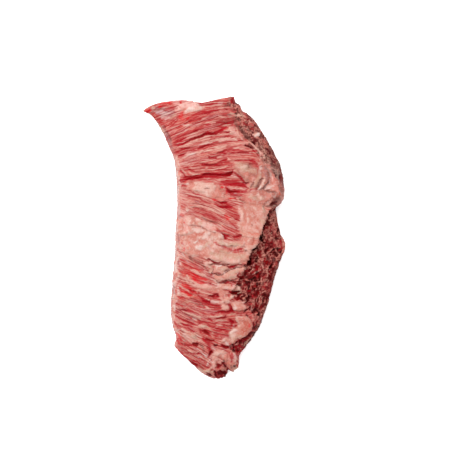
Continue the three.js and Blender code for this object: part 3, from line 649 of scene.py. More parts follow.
        (56.6, -22.4, 0.6)], [(47.8, -66.8, 0.5), (46.2, -69.4, 0.5)],
    ]),
    ("pink", 0.92, 0.4, [
        [(26.6, -36, 0.9), (28.4, -33, 1), (27, -30.6, 0.8)], [(20.8, -44.8, 0.4), (23.6, -43.2, 0.5)],
        [(-12.4, -116.4, 0.7), (-11.2, -118.4, 0.9)], [(22.4, 125.2, 0.9), (21.8, 122.6, 0.9)],
        [(33.6, 109.8, 0.5), (37.4, 109.2, 0.6)], [(46.4, 82.6, 0.8), (48.8, 80.4, 0.7)], [(45, 74.6, 0.7),
        (48, 72.4, 0.9), (50.2, 69.4, 0.9)], [(-35, -99.6, 1), (-34.6, -103, 1.1)], [(-30, -102.4, 0.5),
        (-26, -104.8, 0.6), (-21.4, -108, 0.7), (-16.4, -109.2, 0.9), (-12.6, -108.4, 0.7)],
        [(5, -107.6, 0.9), (9, -109, 1.2), (12, -108.6, 0.8)], [(-34, 85.6, 0.7), (-27, 87, 0.9),
        (-20, 88.6, 0.8)], [(15, 49, 0.5), (20, 48.4, 0.7), (27, 47.2, 0.6)], [(22, 99.6, 0.6),
        (26, 96, 0.9), (30.6, 91.6, 0.8), (34.4, 89.4, 0.6)], [(19, -54.8, 0.9), (22, -55.8, 1.1)],
        [(26.5, -56.2, 0.8), (28.4, -54.6, 0.7)], [(37.6, -73.6, 0.7), (38.6, -77.4, 0.9)],
    ]),
    ("pink", 0.92, 0.8, [
        [(38, -75.4, 0.7), (40.6, -75.6, 0.7)], [(34.8, 92, 0.4), (37.4, 88.6, 0.8), (40.4, 85.4, 0.9),
        (43.6, 82.4, 0.9), (46.6, 80.2, 0.5)],
    ]),
    ("cream", 0.65, 0, [
        [(-17, -33.4, 0.3), (-12, -35.8, 0.5), (-6, -38.6, 0.4)], [(-24.4, -36.4, 0.9), (-26.4, -39, 1.1),
        (-24, -42, 1.4)], [(-29, -54, 1.4), (-26, -56.4, 1.1)], [(-33.4, -72.8, 0.7), (-29.4, -73.6, 0.8),
        (-25.6, -76.4, 0.7)], [(-20.6, 66.8, 0.3), (-17, 65.8, 0.5), (-12.6, 65.6, 0.4)], [(12, 78.8, 0.6),
        (18, 79, 1), (25, 78.6, 0.8)], [(22, 46, 0.6), (27, 45.6, 0.9), (30, 45.4, 0.5)],
    ]),
    ("cream", 0.65, 0.4, [
        [(14.6, 0.6, 0.7), (17, 0.8, 0.9), (19, -0.2, 0.6)], [(22.8, -45.8, 0.6), (24.6, -48, 0.9),
        (25.6, -49.4, 0.6)], [(-34, -65.8, 0.5), (-29, -66.4, 0.6), (-25.6, -66, 0.4)],
        [(-22.6, -63.6, 0.6), (-18.6, -64.6, 0.7), (-13.6, -67.6, 0.5), (-9, -67.6, 0.9), (-4.6, -67, 0.9)],
        [(-31, -102.8, 0.4), (-27, -105.8, 0.6), (-21, -108.4, 0.7), (-15.6, -109, 0.6),
        (-12.6, -108.2, 0.5)], [(-14.6, 80.4, 0.6), (-9, 81.8, 0.9), (-2, 83.4, 0.9), (5, 84.4, 0.8),
        (11, 85.6, 0.5)], [(-13, 90.6, 0.4), (-8.4, 92.2, 0.9), (-3, 93.8, 0.7)], [(2, 75, 0.5),
        (6, 76, 0.9), (9, 76.4, 0.5)],
    ]),
    ("cream", 0.92, 0, [
        [(-29, -48, 0.4), (-25.6, -49.8, 0.5), (-21.6, -52, 0.4), (-18, -54.4, 0.4)],
    ]),
    ("cream", 0.92, 0.4, [
        [(-3.6, 27, 0.9), (2, 26, 1.5), (6, 24, 1.3), (10.6, 22.4, 0.9)], [(-20.6, -30.2, 0.4),
        (-16.6, -31.8, 0.5), (-12, -33.4, 0.6), (-7, -35.6, 0.4)], [(-5.6, -58.4, 0.9), (-4, -59, 0.8)],
        [(-2.6, -74.2, 0.6), (2, -74.6, 0.6), (5, -75.4, 0.7), (8.6, -74.6, 0.6)], [(-11, -107.6, 0.4),
        (-8.6, -111.4, 0.6), (-6.6, -113.6, 0.6)], [(-29.4, 65.4, 0.4), (-27.6, 63.2, 0.6),
        (-25.6, 61, 0.4)], [(-23.4, 63.4, 0.3), (-21.4, 61.8, 0.5), (-18.8, 60.4, 0.7), (-14.6, 60, 0.5)],
        [(17, 48.4, 0.3), (20.4, 47.2, 0.6), (24, 46.7, 0.5), (28, 46.7, 0.3)], [(-26, 88.4, 0.7),
        (-18, 91, 1), (-10, 94.2, 1.1), (-4, 96.3, 1.1), (3, 96.9, 0.9), (9, 98.2, 0.7)], [(-10, 90.2, 0.6),
        (-3, 92, 0.9), (4, 93.2, 1), (12, 94.4, 0.9), (20, 94.2, 0.8)],
    ]),
    ("cream", 0.92, 0.8, [
        [(17.6, -56.4, 1), (19.6, -55.2, 0.9)],
    ]),
    ("beige", 0.65, 0, [
        [(-56, 116.6, 0.6), (-55, 115.6, 0.7)], [(-14, 14, 1.3), (-11, 13, 1.2)], [(-4.6, -4.4, 1.1),
        (-7, -7, 1.5), (-9, -9, 1.2)], [(-2, -15, 1.5), (3, -17, 1.8), (8, -17, 1.8), (7, -21, 1.2)],
        [(-3, -26, 1.4), (-2, -31, 1.8)], [(8, -30, 1.6), (11, -29, 1.6)], [(15, -34, 1.5), (20, -33, 1.7),
        (24, -31, 1.2)], [(17, -38, 1.5), (20, -38, 1.4)], [(-28.4, -62, 1), (-24, -61, 1.4),
        (-20.6, -59.6, 0.6)], [(-32.6, -79.4, 0.6), (-30.6, -80.4, 0.5)], [(-20, -93, 1.5),
        (-17, -96, 1.3)], [(23, -93, 1.2), (27, -93, 0.9)], [(6, -5, 1.6), (14, -7, 2), (22, -6, 1.8)],
        [(8, -13, 2), (14, -16, 2.4), (22, -18, 2.4), (29, -18, 1.8)], [(17, -90, 1.8), (18, -94, 2),
        (21, -96, 1.6)], [(36, 38, 1.8), (42, 37, 2.2), (47, 37, 1.6)], [(50, 79.6, 0.8), (52.4, 75.4, 0.9),
        (51.6, 71.6, 0.7)],
    ]),
    ("beige", 0.65, 0.4, [
        [(-40, 113, 1.5), (-36, 116, 1.8)], [(23, 70, 1.8), (29, 66, 2.6), (36, 64, 2.8), (40, 62, 2)],
        [(16, -6, 1.2), (21, -7, 1.7), (25, -7, 1.6)], [(-12.6, -84.4, 0.9), (-9, -84, 1.4), (-5, -85.6, 1),
        (-2.4, -87.6, 0.6), (0, -92, 0.6)], [(1.4, -79.6, 0.4), (5, -78.6, 0.5), (11.4, -78.6, 0.4)],
        [(45, 17, 1.4), (47, 14, 1.2)], [(47, 29, 1.3), (48, 24, 1.2)], [(29.4, -57.6, 0.6),
        (31.6, -60, 0.8)], [(1.6, -126.4, 0.5), (6, -125.2, 0.7), (10.6, -125, 0.8), (14, -124, 0.6)],
        [(45.4, 87.6, 0.6), (48.6, 81.6, 0.8), (49.4, 75, 0.7)],
    ]),
    ("beige", 0.65, 0.8, [
        [(45, 60, 1.4), (43, 56, 1.9), (40, 52, 1.7), (39, 48, 1.2)],
    ]),
    ("beige", 0.92, 0, [
        [(-67, 121, 1.3), (-65.5, 120.3, 0.9)], [(-57.3, 123, 1.1), (-56, 124, 1.2)], [(-53, 108.6, 1),
        (-50, 104, 1.4), (-47, 100.3, 1)],
    ]),
    ("beige", 0.92, 0.4, [
        [(22.4, -123.6, 1), (19.4, -126, 0.9)], [(-5.4, -125.6, 0.8), (-2, -127.8, 1), (0.6, -127.4, 1.1)],
        [(28.8, -102.6, 0.7), (31, -100.6, 0.8), (33.4, -97, 0.7)], [(-28, -70.4, 0.4), (-24, -71.8, 0.5),
        (-19, -73.4, 0.6), (-12.4, -76, 0.6)], [(15.4, -73.2, 0.5), (18, -72.2, 0.7), (20.4, -72.4, 0.5)],
        [(-13.6, -123, 0.7), (-9.4, -126.4, 0.8), (-6, -127, 0.7)], [(36.2, -95.2, 0.6), (34, -96.8, 0.7),
        (32.6, -98.4, 0.4)], [(16.4, 118.4, 0.9), (20.4, 116.2, 0.7), (25, 115.4, 0.5), (28, 114, 0.4)],
        [(48.2, 78.4, 0.8), (48.8, 76.8, 0.7)], [(25.6, 55.4, 0.4), (27.4, 57.8, 0.6)], [(-8, -127, 0.8),
        (-3.8, -125.8, 0.9), (-1.6, -127.6, 0.7), (-0.6, -129.6, 0.5)], [(24, -52.8, 0.9),
        (27, -52.2, 0.7)], [(23.4, -50.4, 0.5), (26.4, -49.2, 0.9)],
    ]),
    ("beige", 0.92, 0.8, [
        [(48.6, 54.6, 0.8), (46.6, 51.6, 0.8), (45.2, 49, 0.5)],
    ]),
    ("fatRosy", 0.65, 0, [
        [(14, -116, 2.2), (17, -113, 2.4), (20, -118, 3), (19, -123, 2.2)],
    ]),
    ("fatRosy", 0.65, 0.4, [
        [(35, 85.6, 0.5), (40, 80.2, 0.7), (43.6, 75.6, 0.6)],
    ]),
    ("fatRosy", 0.92, -0.4, [
        [(25.6, 37.2, 0.6), (32.3, 32.4, 0.7), (39.4, 30.9, 0.6), (47.5, 31.8, 0.5)],
    ]),
    ("fatRosy", 0.92, 0.8, [
        [(4.4, -126, 0.7), (8.2, -124.2, 0.8), (12.4, -124.2, 0.7)],
    ]),
    ("fatPale", 0.65, 0, [
        [(19, -89, 2.2), (19, -94, 2.4), (18, -99, 1.5)], [(-26.4, 2.6, 0.8), (-26.6, -1, 1.1),
        (-26.4, -4, 0.7)], [(-24, 19, 2), (-23, 15, 1.6)],
    ]),
    ("fatPale", 0.65, 0.4, [
        [(18, 118, 1.1), (21.9, 116, 1), (26, 116, 0.9), (31, 114.4, 0.7)], [(9, -98, 0.7),
        (11, -97.4, 0.8)], [(12, -60, 1.4), (14.4, -62, 1.1)], [(22.4, -75.6, 1), (23, -80, 1.2),
        (25, -84, 1.5)], [(38.4, 88.2, 0.5), (43.2, 82.2, 0.7), (47, 76.2, 0.7), (50, 70.6, 0.5)],
    ]),
    ("fatPale", 0.65, 0.8, [
        [(4, -110, 1.9), (7, -109, 1.8), (10, -109, 1.7)],
    ]),
    ("fatPale", 0.92, 0.4, [
        [(-1, -111, 1.2), (0, -113, 1.7), (2, -111, 1.5)], [(23, -100, 0.5), (21.8, -101.6, 0.6),
        (20.4, -104, 0.6)], [(25, 31, 0.9), (25, 26, 1.2), (28, 22, 1.2), (27, 16, 1.2)], [(24, 13, 1.4),
        (25, 9, 1.4)], [(43, 41, 1.3), (45, 37, 1.4)], [(33, 18, 1.4), (33, 15.6, 1)], [(39, 28, 1.2),
        (40.2, 25.8, 1)], [(35, -1, 1.3), (33, -4, 1)],
    ]),
    ("fatPale", 0.92, 0.8, [
        [(49, 57, 1.2), (46, 50, 1.4), (43.4, 45.8, 1.1)], [(37.6, -34.8, 0.4), (41.4, -33.6, 0.5),
        (44.8, -30.8, 0.4)],
    ]),
    ("fatPink", 0.65, 0, [
        [(-34, 122, 2.5), (-31, 119, 2.4)], [(-10, -77, 0.6), (-8, -78, 0.6)], [(-34.6, -98.6, 0.9),
        (-35.2, -102, 1)], [(25, 29, 0.9), (24.8, 25.6, 1), (27, 20, 1.2), (27, 16, 1.2)], [(31, 11, 1.8),
        (34, 9, 1.6)], [(-27, 19, 1.6), (-26, 13, 2), (-26, 6, 1.6)], [(-7, 10, 1.5), (-3, 10, 2),
        (1, 9, 1.6)], [(-35.4, -98, 1.1), (-36, -103, 1.2), (-33.6, -106.6, 0.8)],
    ]),
    ("fatPink", 0.65, 0.4, [
        [(17, 104, 1.2), (19, 103, 2.2), (21, 99, 2.1), (23, 97, 1.2)], [(0.4, -118, 1.1), (1, -123, 1.2),
        (2.2, -126, 0.8)], [(-4, 13.4, 0.8), (2, 12.4, 0.9), (6.6, 10.4, 0.8), (11, 7.6, 0.8), (16, 5, 0.7),
        (22, 3.2, 0.6)],
    ]),
    ("fatPink", 0.92, 0, [
        [(-27.4, -91.6, 1), (-25, -93, 1.2), (-22.6, -95, 0.7)],
    ]),
    ("fatPink", 0.92, 0.4, [
        [(-36, 128, 2.2), (-31, 125, 3.6), (-27, 126, 3.3), (-21, 126, 3.2), (-15, 126, 2.2)],
        [(20, -111, 1.3), (21, -115.8, 1.1)], [(5.6, 91.6, 0.5), (12, 93, 0.8), (17, 93.6, 0.8),
        # the last fatPink stroke, at x 55.4 to 56, y 53.4 to 56.6, is a painted highlight on a fold
        (22, 93.4, 0.6)], [(55.4, 56.6, 0.5), (56, 53.4, 0.6)],
    ]),
    ("ash", 0.65, 0, [
        [(13.8, 117.4, 1), (17, 116, 1.3)], [(-28.4, -98.6, 0.6), (-26, -98.2, 0.6)], [(50, 66, 1.2),
        (53, 63, 1.5), (54.6, 58.6, 1.1)], [(53, 73, 1.3), (57, 65, 2), (60, 62, 2.2), (62, 58, 1.2)],
    ]),
    ("ash", 0.65, 0.4, [
        [(15.6, 128, 0.6), (16.4, 125.6, 0.8)], [(8.8, -130.4, 0.6), (10.8, -130.8, 0.6)],
    ]),
    ("ash", 0.92, 0.4, [
        [(58, 64, 1.6), (60, 59, 2.2), (62, 55, 1.4)], [(27.4, 103.8, 0.5), (30.4, 104.2, 0.5),
        (33.2, 103.2, 0.5)], [(61, 72, 1.2), (63.2, 69.4, 0.8)], [(59, 63, 1.2), (60, 60, 1.3),
        (61, 56.4, 0.9)],
    ]),
    ("brown", 0.65, -0.4, [
        [(-22, -18.4, 0.8), (-20.6, -20.6, 1.1), (-18.8, -22.4, 0.9)], [(-10.6, -25.4, 0.8),
        (-7.4, -28, 0.6)], [(17.4, 125.4, 0.9), (17.8, 122, 1.1), (20, 120, 0.9)], [(12, 125, 1.4),
        (16, 127, 1.4), (18, 122, 1.2)], [(20, 113, 1.2), (22, 109, 1.4), (25, 104, 1.3)],
    ]),
    ("brown", 0.65, 0, [
        [(27, -45.6, 0.8), (28.6, -47.4, 0.6)], [(60, -27, 0.7), (58.6, -32, 1.1), (57.2, -38, 0.9)],
        [(24, 106, 1), (27, 102, 1.4), (30, 98, 1.2), (32, 94.2, 0.8)], [(-56.4, 121.6, 0.8),
        (-52.6, 121.4, 1.1), (-49.6, 122.4, 0.7)],
    ]),
    ("brown", 0.65, 0.4, [
        [(4, -132, 0.7), (8, -132.6, 0.8), (11.4, -131.6, 0.6)],
    ]),
    ("brown", 0.92, -0.4, [
        [(25.6, 104, 0.9), (30, 100, 1.2), (35, 93.8, 1.1)], [(51.2, 78.4, 0.8), (53.6, 76.2, 0.9)],
        [(57.4, 73, 0.8), (55.6, 69.2, 1.1), (59, 69, 1.6), (61, 66.6, 1.1)],
    ]),
    ("blood", 0.65, -0.4, [
        [(-30.4, 21.4, 0.8), (-29, 20.8, 0.8)],
    ]),
    ("blood", 0.65, 0, [
        [(-47, 127.4, 0.9), (-43, 128.5, 1.1), (-39, 128.4, 0.9)], [(-25.6, 113.2, 0.7), (-23.4, 114, 0.9)],
        [(27, -107, 1.2), (25, -109.4, 1)], [(-27.2, 15.6, 0.6), (-26.6, 14.6, 0.7)], [(-27, -10.4, 0.8),
        (-27.2, -12, 0.7)], [(-29, -32.6, 0.6), (-25, -33.4, 0.8), (-20.4, -36.4, 0.7), (-16.4, -40.6, 0.8),
        (-13.4, -42.8, 1), (-9, -43.4, 0.6)], [(-34, -90.6, 0.9), (-32, -93.6, 1.1), (-31, -96, 0.7)],
        [(-9, -96.6, 1), (-8, -99, 1), (-6.4, -101, 0.8)], [(34, -82.6, 0.6), (34, -84.6, 0.6)],
        [(-35.8, -104, 0.8), (-34, -106.6, 0.7)], [(-27.4, 52.4, 0.5), (-24.6, 53.8, 0.6)],
        [(-0.4, 36.6, 0.5), (1.4, 35.6, 0.7)], [(-35, -95.6, 0.8), (-33.4, -98, 1), (-31.6, -101, 0.9)],
    ]),
    ("blood", 0.92, -0.4, [
        [(-30.9, 128.3, 0.8), (-30.6, 127.2, 0.9)], [(-29.6, 118, 1.1), (-30, 116, 1.5),
        (-31.6, 113.6, 0.9)], [(-30.3, 112.8, 0.8), (-29, 113, 1.2), (-27.4, 113.8, 0.7)], [(12, 21.4, 1),
        (15, 19, 1.2), (14, 17.2, 0.9)], [(-27.4, -30.2, 0.6), (-23.6, -31.2, 0.8), (-19.4, -34.4, 1),
        (-15.6, -37, 1.1), (-11.6, -39, 0.9), (-7, -40.8, 0.5)], [(-33.6, -56, 0.4), (-31.4, -57.4, 0.8),
        (-28.4, -57.8, 0.7)], [(7.8, 47.4, 0.8), (9.4, 47.4, 0.7)],
    ]),
    ("blood", 0.92, 0, [
        [(-63, 120, 1.6), (-61, 120, 1.5), (-59.4, 121.2, 0.8)], [(-51, 124.2, 0.9), (-50, 124.6, 1)],
        [(-29.4, -44.6, 0.7), (-26, -46, 1.2), (-23, -47, 1.5), (-20.8, -49, 1)], [(-31.6, -48, 0.6),
        (-29.6, -50.6, 0.9), (-25, -52.4, 1), (-22, -54, 1.4), (-20.4, -54.2, 0.6)], [(14.6, 38, 0.4),
        (17, 37.2, 0.7)], [(-33, -107.6, 0.9), (-28, -112, 1.5), (-23, -116, 1.9), (-19, -119, 1.7)],
    ]),
    ("flesh", 0.92, 0, [
        [(28.8, 109.4, 0.8), (31.8, 107.2, 0.8)], [(4.6, -129.8, 0.7), (8, -130.2, 0.8),
        (11.6, -129.6, 0.7)],
    ]),
    ("flesh", 0.92, 0.4, [
        [(35.6, 104, 1), (38.4, 102.6, 1.1)],
    ]),
    ("crimson", 0.65, -0.4, [
        [(-5, -104, 1.4), (-4, -106, 1.6), (-2, -108, 1.3)], [(16.8, -111.6, 0.7), (18.3, -117.4, 0.9)],
        [(25, -103, 1.2), (29, -104, 1.2)], [(19.6, -11.2, 0.8), (27, -12, 0.7)], [(-17, -29.4, 0.5),
        (-13, -30.6, 0.7), (-9.6, -31, 0.8)], [(-13.6, -52, 0.8), (-13.6, -54.8, 0.6)],
        [(-34.6, -74.2, 0.5), (-31, -77.2, 0.7), (-26, -79.4, 0.7), (-19.6, -81.8, 0.6), (-15, -82.6, 0.8),
        (-12.8, -81, 0.6)], [(-29, -82, 0.7), (-24, -83.6, 0.9), (-20, -84.8, 0.7)], [(-31, -96.4, 0.6),
        (-29.6, -97.4, 0.5)], [(-12.4, -87, 0.7), (-11.4, -90, 1)], [(-4.6, -77, 0.7), (-1.6, -78.8, 0.8)],
        [(-5.4, -81.4, 0.6), (-2.4, -83.8, 0.6)], [(22, -72.6, 0.7), (25, -73.4, 0.6), (27.6, -73, 0.9)],
        [(3.4, -90.6, 1.1), (4.6, -92.4, 0.8)], [(-30.6, -100.8, 0.5), (-26.4, -102.2, 0.6),
        (-23.4, -102.4, 0.5)], [(-29.4, -107.4, 0.5), (-25, -108.9, 0.7), (-18, -111, 0.5),
        (-12, -110.2, 0.4)], [(-4.4, -105.6, 0.9), (-3.6, -107.6, 0.9)], [(-16, 55.4, 0.3),
        (-11.6, 54.7, 0.5), (-6, 54.2, 0.4), (1, 53.4, 0.3)], [(-31.4, 54.4, 0.6), (-31.2, 51.8, 0.5)],
        [(-20, 64.2, 0.3), (-17.2, 62.8, 0.6), (-13.6, 61.8, 0.4)], [(-25.4, 67.4, 0.4), (-23, 66, 0.7),
        (-21, 64.6, 0.4)], [(-24, 45.6, 0.3), (-20.4, 44.4, 0.5), (-16.2, 41.4, 0.6)], [(-16, 38.4, 0.4),
        (-12.2, 37.6, 0.6), (-9, 35, 0.5), (-5.4, 33, 0.6), (-2.6, 32.2, 0.4)], [(-19, 32.6, 0.4),
        (-14, 31.8, 0.5), (-11, 31.2, 0.7), (-8, 30.4, 0.4)], [(24, 45, 0.6), (27.4, 43.6, 0.9)],
        [(-25.6, 108.4, 0.3), (-22.2, 110.6, 0.5), (-18.2, 113.2, 0.5), (-13.4, 115, 0.4)],
        [(-19.6, 108, 0.4), (-16.4, 109.2, 0.7), (-13.2, 110.2, 0.4)], [(20, 16.4, 0.5), (23.4, 16.8, 0.5),
        (25.2, 15.8, 0.4)], [(14, 109.4, 0.7), (18, 108.6, 1), (21, 108.6, 0.6)], [(15, -64.6, 0.6),
        (16.6, -67, 1), (16.4, -69.2, 0.8)], [(9, 3.6, 0.8), (12, 0.8, 1), (11.4, -1, 0.7)],
    ]),
    ("crimson", 0.65, 0, [
        [(64.6, -3, 0.8), (64.4, -8, 0.9)], [(49.4, -44.2, 0.6), (48.6, -47.2, 0.6)], [(65.4, -10, 0.6),
        (62.6, -12.8, 0.7)], [(14, 81.8, 0.4), (22, 81.4, 0.7), (30, 80.8, 0.8), (34, 80.6, 0.5)],
        [(1, 77.6, 0.5), (6, 78, 0.7), (10, 78, 0.4)], [(-9, 69, 0.5), (-3, 69.2, 0.8), (3, 68.6, 0.7)],
        [(17, 40.6, 1), (22, 40, 1.3), (26, 40.2, 0.8)], [(0, -53.6, 0.8), (4, -54, 1.3), (4.6, -56.6, 1)],
        [(-9, -96, 1.2), (-6, -100, 1.4), (-3, -103, 1.2), (-2.6, -107, 1)], [(18, -106, 0.8),
        (21, -104, 1.2), (24, -103, 1), (26, -99.6, 0.9)], [(35, 74.4, 0.6), (38.4, 73.2, 0.8),
        (41, 70.6, 0.5)], [(17.6, -109.6, 0.5), (19, -112, 0.7), (18.6, -115, 0.5)],
    ]),
    ("crimson", 0.92, -0.9, [
        [(8, 4.2, 0.6), (11, 2, 1.3), (14, 1.4, 0.9)], [(10.4, 0.6, 0.9), (12, -1.4, 0.7)],
        [(15.4, -28.4, 0.5), (17, -28.2, 0.8), (20, -27.4, 0.8), (22.6, -26.4, 0.4)], [(9, -41.4, 0.5),
        (12.6, -42, 1.1), (15, -41.4, 0.5)], [(16.6, -65.4, 0.5), (17.2, -68, 0.9), (18.4, -70.4, 0.8)],
        [(-2.6, -56.4, 0.9), (0, -55.6, 1.1), (3.4, -54.2, 1), (4.6, -56.6, 0.7), (0.6, -57.6, 0.7)],
        [(-22, 55.2, 0.6), (-18, 56.7, 1), (-14, 57, 0.8), (-10, 57.8, 0.7), (-7, 60, 1.2), (-2, 59.7, 0.9),
        (4, 59.1, 0.8), (9, 58.9, 1), (14, 60, 1.2), (17, 62, 1.4)], [(14.4, 46, 0.6), (17, 43, 1.2),
        (20, 43.2, 0.7), (23.4, 43.4, 0.4)],
    ]),
    ("crimson", 0.92, -0.4, [
        [(-1, -22.6, 0.6), (1.6, -24, 0.8), (2.6, -24.4, 0.5)], [(14.6, -54.8, 0.6), (15.2, -56.4, 0.7)],
        [(1.6, -71, 0.6), (6, -71.4, 0.8), (10.4, -71, 0.9)], [(-23.4, -49.4, 0.6), (-20.6, -50.6, 0.8),
        (-17, -51.4, 0.6)], [(-10.4, -57, 0.8), (-8.6, -60, 1), (-5, -62, 1.3)], [(16.8, -79.4, 0.8),
        (18.8, -81.6, 1), (17.4, -84, 0.6)], [(-31, 64, 0.4), (-28.4, 61.4, 0.5), (-26.2, 57.8, 0.8)],
        [(-10.4, 68.8, 0.5), (-6, 68.8, 0.8), (0, 69, 0.8), (5, 68.7, 0.8), (8.4, 68.6, 0.4)],
        [(4.6, 34, 0.4), (8, 33.2, 1), (13, 33.4, 0.9)], [(1.4, 32, 0.4), (4.6, 30, 0.6), (8.6, 28.6, 0.9),
        (14, 29, 1.2), (18.4, 29.4, 0.8)], [(20, 61.4, 0.4), (23.4, 58.6, 0.6), (26.4, 55.4, 0.7),
        (28.6, 52.6, 0.6), (31.4, 51.4, 0.5)], [(9.6, 50.2, 0.3), (15, 50.2, 0.6), (21, 50.4, 0.5),
        (27, 48.8, 0.8)], [(19.6, 38.8, 0.4), (21.4, 37, 0.7), (22.8, 35.8, 0.4)], [(4.4, 101, 0.5),
        (7.4, 102, 0.9), (9.6, 103.4, 0.6), (13.4, 104, 0.6)], [(37.8, 83, 0.5), (41.6, 79.6, 0.7),
        (44.2, 75.2, 0.6)], [(33.6, 73.6, 0.5), (37.2, 73.4, 1)], [(22, 59.6, 0.6), (24.8, 58.4, 0.8),
        (27.2, 55.8, 0.8), (29.4, 53.4, 0.5)], [(24.6, 3, 0.5), (26.6, 2.6, 0.8)], [(-29.4, -104.6, 0.5),
        (-26, -106.2, 0.6), (-22.6, -109.4, 0.8), (-18.6, -111.2, 0.8), (-14, -111, 0.6)],
        [(-27, -101, 0.5), (-23.4, -102.6, 0.8), (-20.4, -103.4, 0.6)], [(9, -102.2, 0.9), (11.4, -104, 1),
        (13.8, -104, 0.8)], [(21.6, -103.6, 1), (23, -109.6, 0.8)], [(64.8, -7.6, 0.5), (65, -10.4, 0.8)],
        [(-26, 90.6, 0.7), (-20, 93.3, 1), (-15, 95.2, 1.1), (-10, 97, 1.3), (-6, 99, 1.4), (0, 99, 1.1),
        (5, 100.6, 1), (9.5, 101.8, 0.8)], [(4.5, 80.6, 0.6), (8, 80.6, 1), (12, 80, 0.7)],
        [(-4, 76.3, 0.5), (0, 75.9, 1.1), (4, 75.4, 0.6)],
    ]),
    ("crimson", 0.92, 0, [
        [(20, 133.2, 1), (19, 131, 1.6), (18, 129, 1.4)], [(-32.6, -109.4, 0.7), (-28.6, -112, 0.9),
        (-24.6, -114.8, 0.9)], [(-21.6, -116.4, 0.7), (-18.6, -117, 1), (-15.4, -117.6, 0.8)],
        [(33.2, -51, 0.6), (36.2, -50.6, 0.6)], [(38, -55, 0.7), (37.2, -57.4, 0.6)], [(-31.4, -108.2, 0.7),
        (-27, -112.2, 1.1), (-23, -116, 1.2), (-19, -119, 1.7), (-16, -121, 1.4)], [(-37, 90.3, 0.6),
        (-31, 92.4, 0.8), (-26, 95.3, 0.6)], [(-36.5, 87.8, 0.6), (-30, 88.8, 0.8), (-26, 90.4, 0.6)],
        [(-30, 84.2, 0.7), (-26, 84.8, 1), (-22.5, 85.8, 0.7)], [(7.5, 72.8, 0.5), (11.4, 73.6, 1),
        (13, 74.4, 0.6)], [(-31, 54, 1.2), (-26, 56, 1.6), (-20, 57, 1.7), (-12, 58, 1.9), (-4, 59, 2),
        (4, 59, 2), (12, 59, 1.8), (16, 61, 1.7)], [(8, 53, 1.3), (15, 53, 2), (21, 52, 2.2), (27, 50, 1.9),
        (31, 48.4, 1)], [(12, 47, 1.3), (16, 44, 2), (21, 44, 1.7), (25, 43.6, 0.8)], [(3, 105.6, 0.5),
        (8, 104.6, 0.8), (12, 104.8, 0.6)], [(-19, -118, 1.2), (-16, -121, 1.5), (-15, -123, 0.9)],
    ]),
    ("crimson", 0.92, 0.4, [
        [(38.6, -32.2, 0.6), (41.2, -31, 0.5)], [(34, -64, 0.6), (36.2, -63, 0.8)],
    ]),
    ("cellRed", 0.65, 0, [
        [(-5.4, -129, 1), (-3, -130.6, 1)],
    ]),
    ("cellRed", 0.92, -0.4, [
        [(32.4, 111.4, 0.7), (34.4, 112.4, 0.7)], [(4.8, -122.8, 1.1), (7.2, -122, 1.1)], [(7, -127, 1.5),
        (9, -129, 1.5), (12.8, -127, 1.1)],
    ]),
    ("cellRed", 0.92, 0, [
        [(3.4, -131.6, 1.1), (6.6, -133, 1)], [(5.6, -132.4, 0.9), (9.6, -132, 1)],
    ]),
    ("net", 0.65, 0.4, [
        [(38, -12.6, 0.5), (39.6, -14.4, 0.4)], [(31, -27, 0.6), (33.6, -29.4, 0.5)], [(52.6, -38.6, 0.4),
        (50.2, -40.8, 0.4)],
    ]),
    ("net", 0.92, 0.4, [
        [(53, -2.2, 0.5), (54.4, -3.4, 0.4)], [(46.8, -52.2, 0.5), (49.2, -50.6, 0.5)], [(38.4, -62.8, 0.5),
        (38.8, -64.8, 0.4)],
    ]),
    ("net", 0.92, 0.8, [
        [(47, 7, 0.4), (48.6, 4, 0.6), (50, 1, 0.4)], [(54, 5.6, 0.4), (52, 3, 0.4)], [(56.6, -1, 0.7),
        (58, -2.6, 0.8), (59.6, -5.2, 0.7)], [(45.6, -6, 0.4), (46.8, -10.4, 0.6), (48.2, -14, 0.9),
        (48.6, -17, 1)], [(42, -8.6, 0.6), (43.6, -10.4, 0.5)], [(51.8, -14.8, 0.5), (55, -12.8, 0.7),
        (58.8, -9.8, 0.4)], [(42.6, -21, 0.4), (45, -24, 0.5), (47.4, -28, 1), (48.4, -31, 0.6)],
        [(50.2, -30.4, 0.5), (51.2, -33.4, 0.8), (51.8, -36.8, 0.6)], [(45.4, -38, 0.4), (46.6, -42.6, 0.6),
        (46, -46.4, 0.5)], [(44.2, -55, 0.4), (42.4, -57.6, 0.5), (41.2, -60.6, 0.4)], [(46.2, -60.2, 0.3),
        (44.6, -63, 0.4), (44.4, -66.4, 0.4)],
    ]),
    # milk daubs on the nodules, on the folds' ridges near x 43 to 46, y 45 to 50 and x 45 to 46, y 65 to 66, and on
    # the tail at x -5, y -120 are painted highlights
    ("milk", 0.65, 0, [
        [(44.6, 48, 0.7), (43.2, 46.4, 0.8)], [(-32, -22.6, 0.5), (-30.6, -26, 0.6)], [(-33, -46, 0.6),
        (-32.8, -52.6, 1.1)], [(-16, 18, 1.4), (-12.4, 16.6, 1)], [(-18, 8, 1.5), (-15, 6, 2.2),
        (-11, 7, 1.5)], [(20.4, -64, 1.1), (21, -67, 1.4)], [(-27, -95.6, 0.3), (-22.4, -99, 0.4)],
        [(-14, 86.6, 0.3), (-10, 88, 0.5), (-4.6, 89.4, 0.5), (-1, 90.4, 0.3)],
    ]),
    ("milk", 0.65, 0.4, [
        [(-48, 114, 1.4), (-45, 113, 1.8), (-41, 114, 1.2)], [(45, 66, 1.3), (46, 65, 1.2)],
        [(49.2, 46.6, 0.9), (53.7, 48, 1.1), (57.4, 49, 0.9)], [(12.2, -100.6, 1), (14, -101, 1.2)],
        [(-33.6, -25.6, 0.8), (-35, -30, 1.7), (-35.2, -33, 0.9)], [(-33.2, -37.6, 1), (-35, -40.4, 0.8),
        (-36, -43.6, 0.5)], [(-33.6, -59.6, 0.8), (-35, -61.4, 0.6), (-36.4, -65.4, 1)], [(-9, 0, 1.2),
        (-6, 2, 1.8), (-4, 4, 1.4)], [(12, -6.4, 1), (12.6, -7.6, 0.7)], [(4.4, -27.8, 0.6),
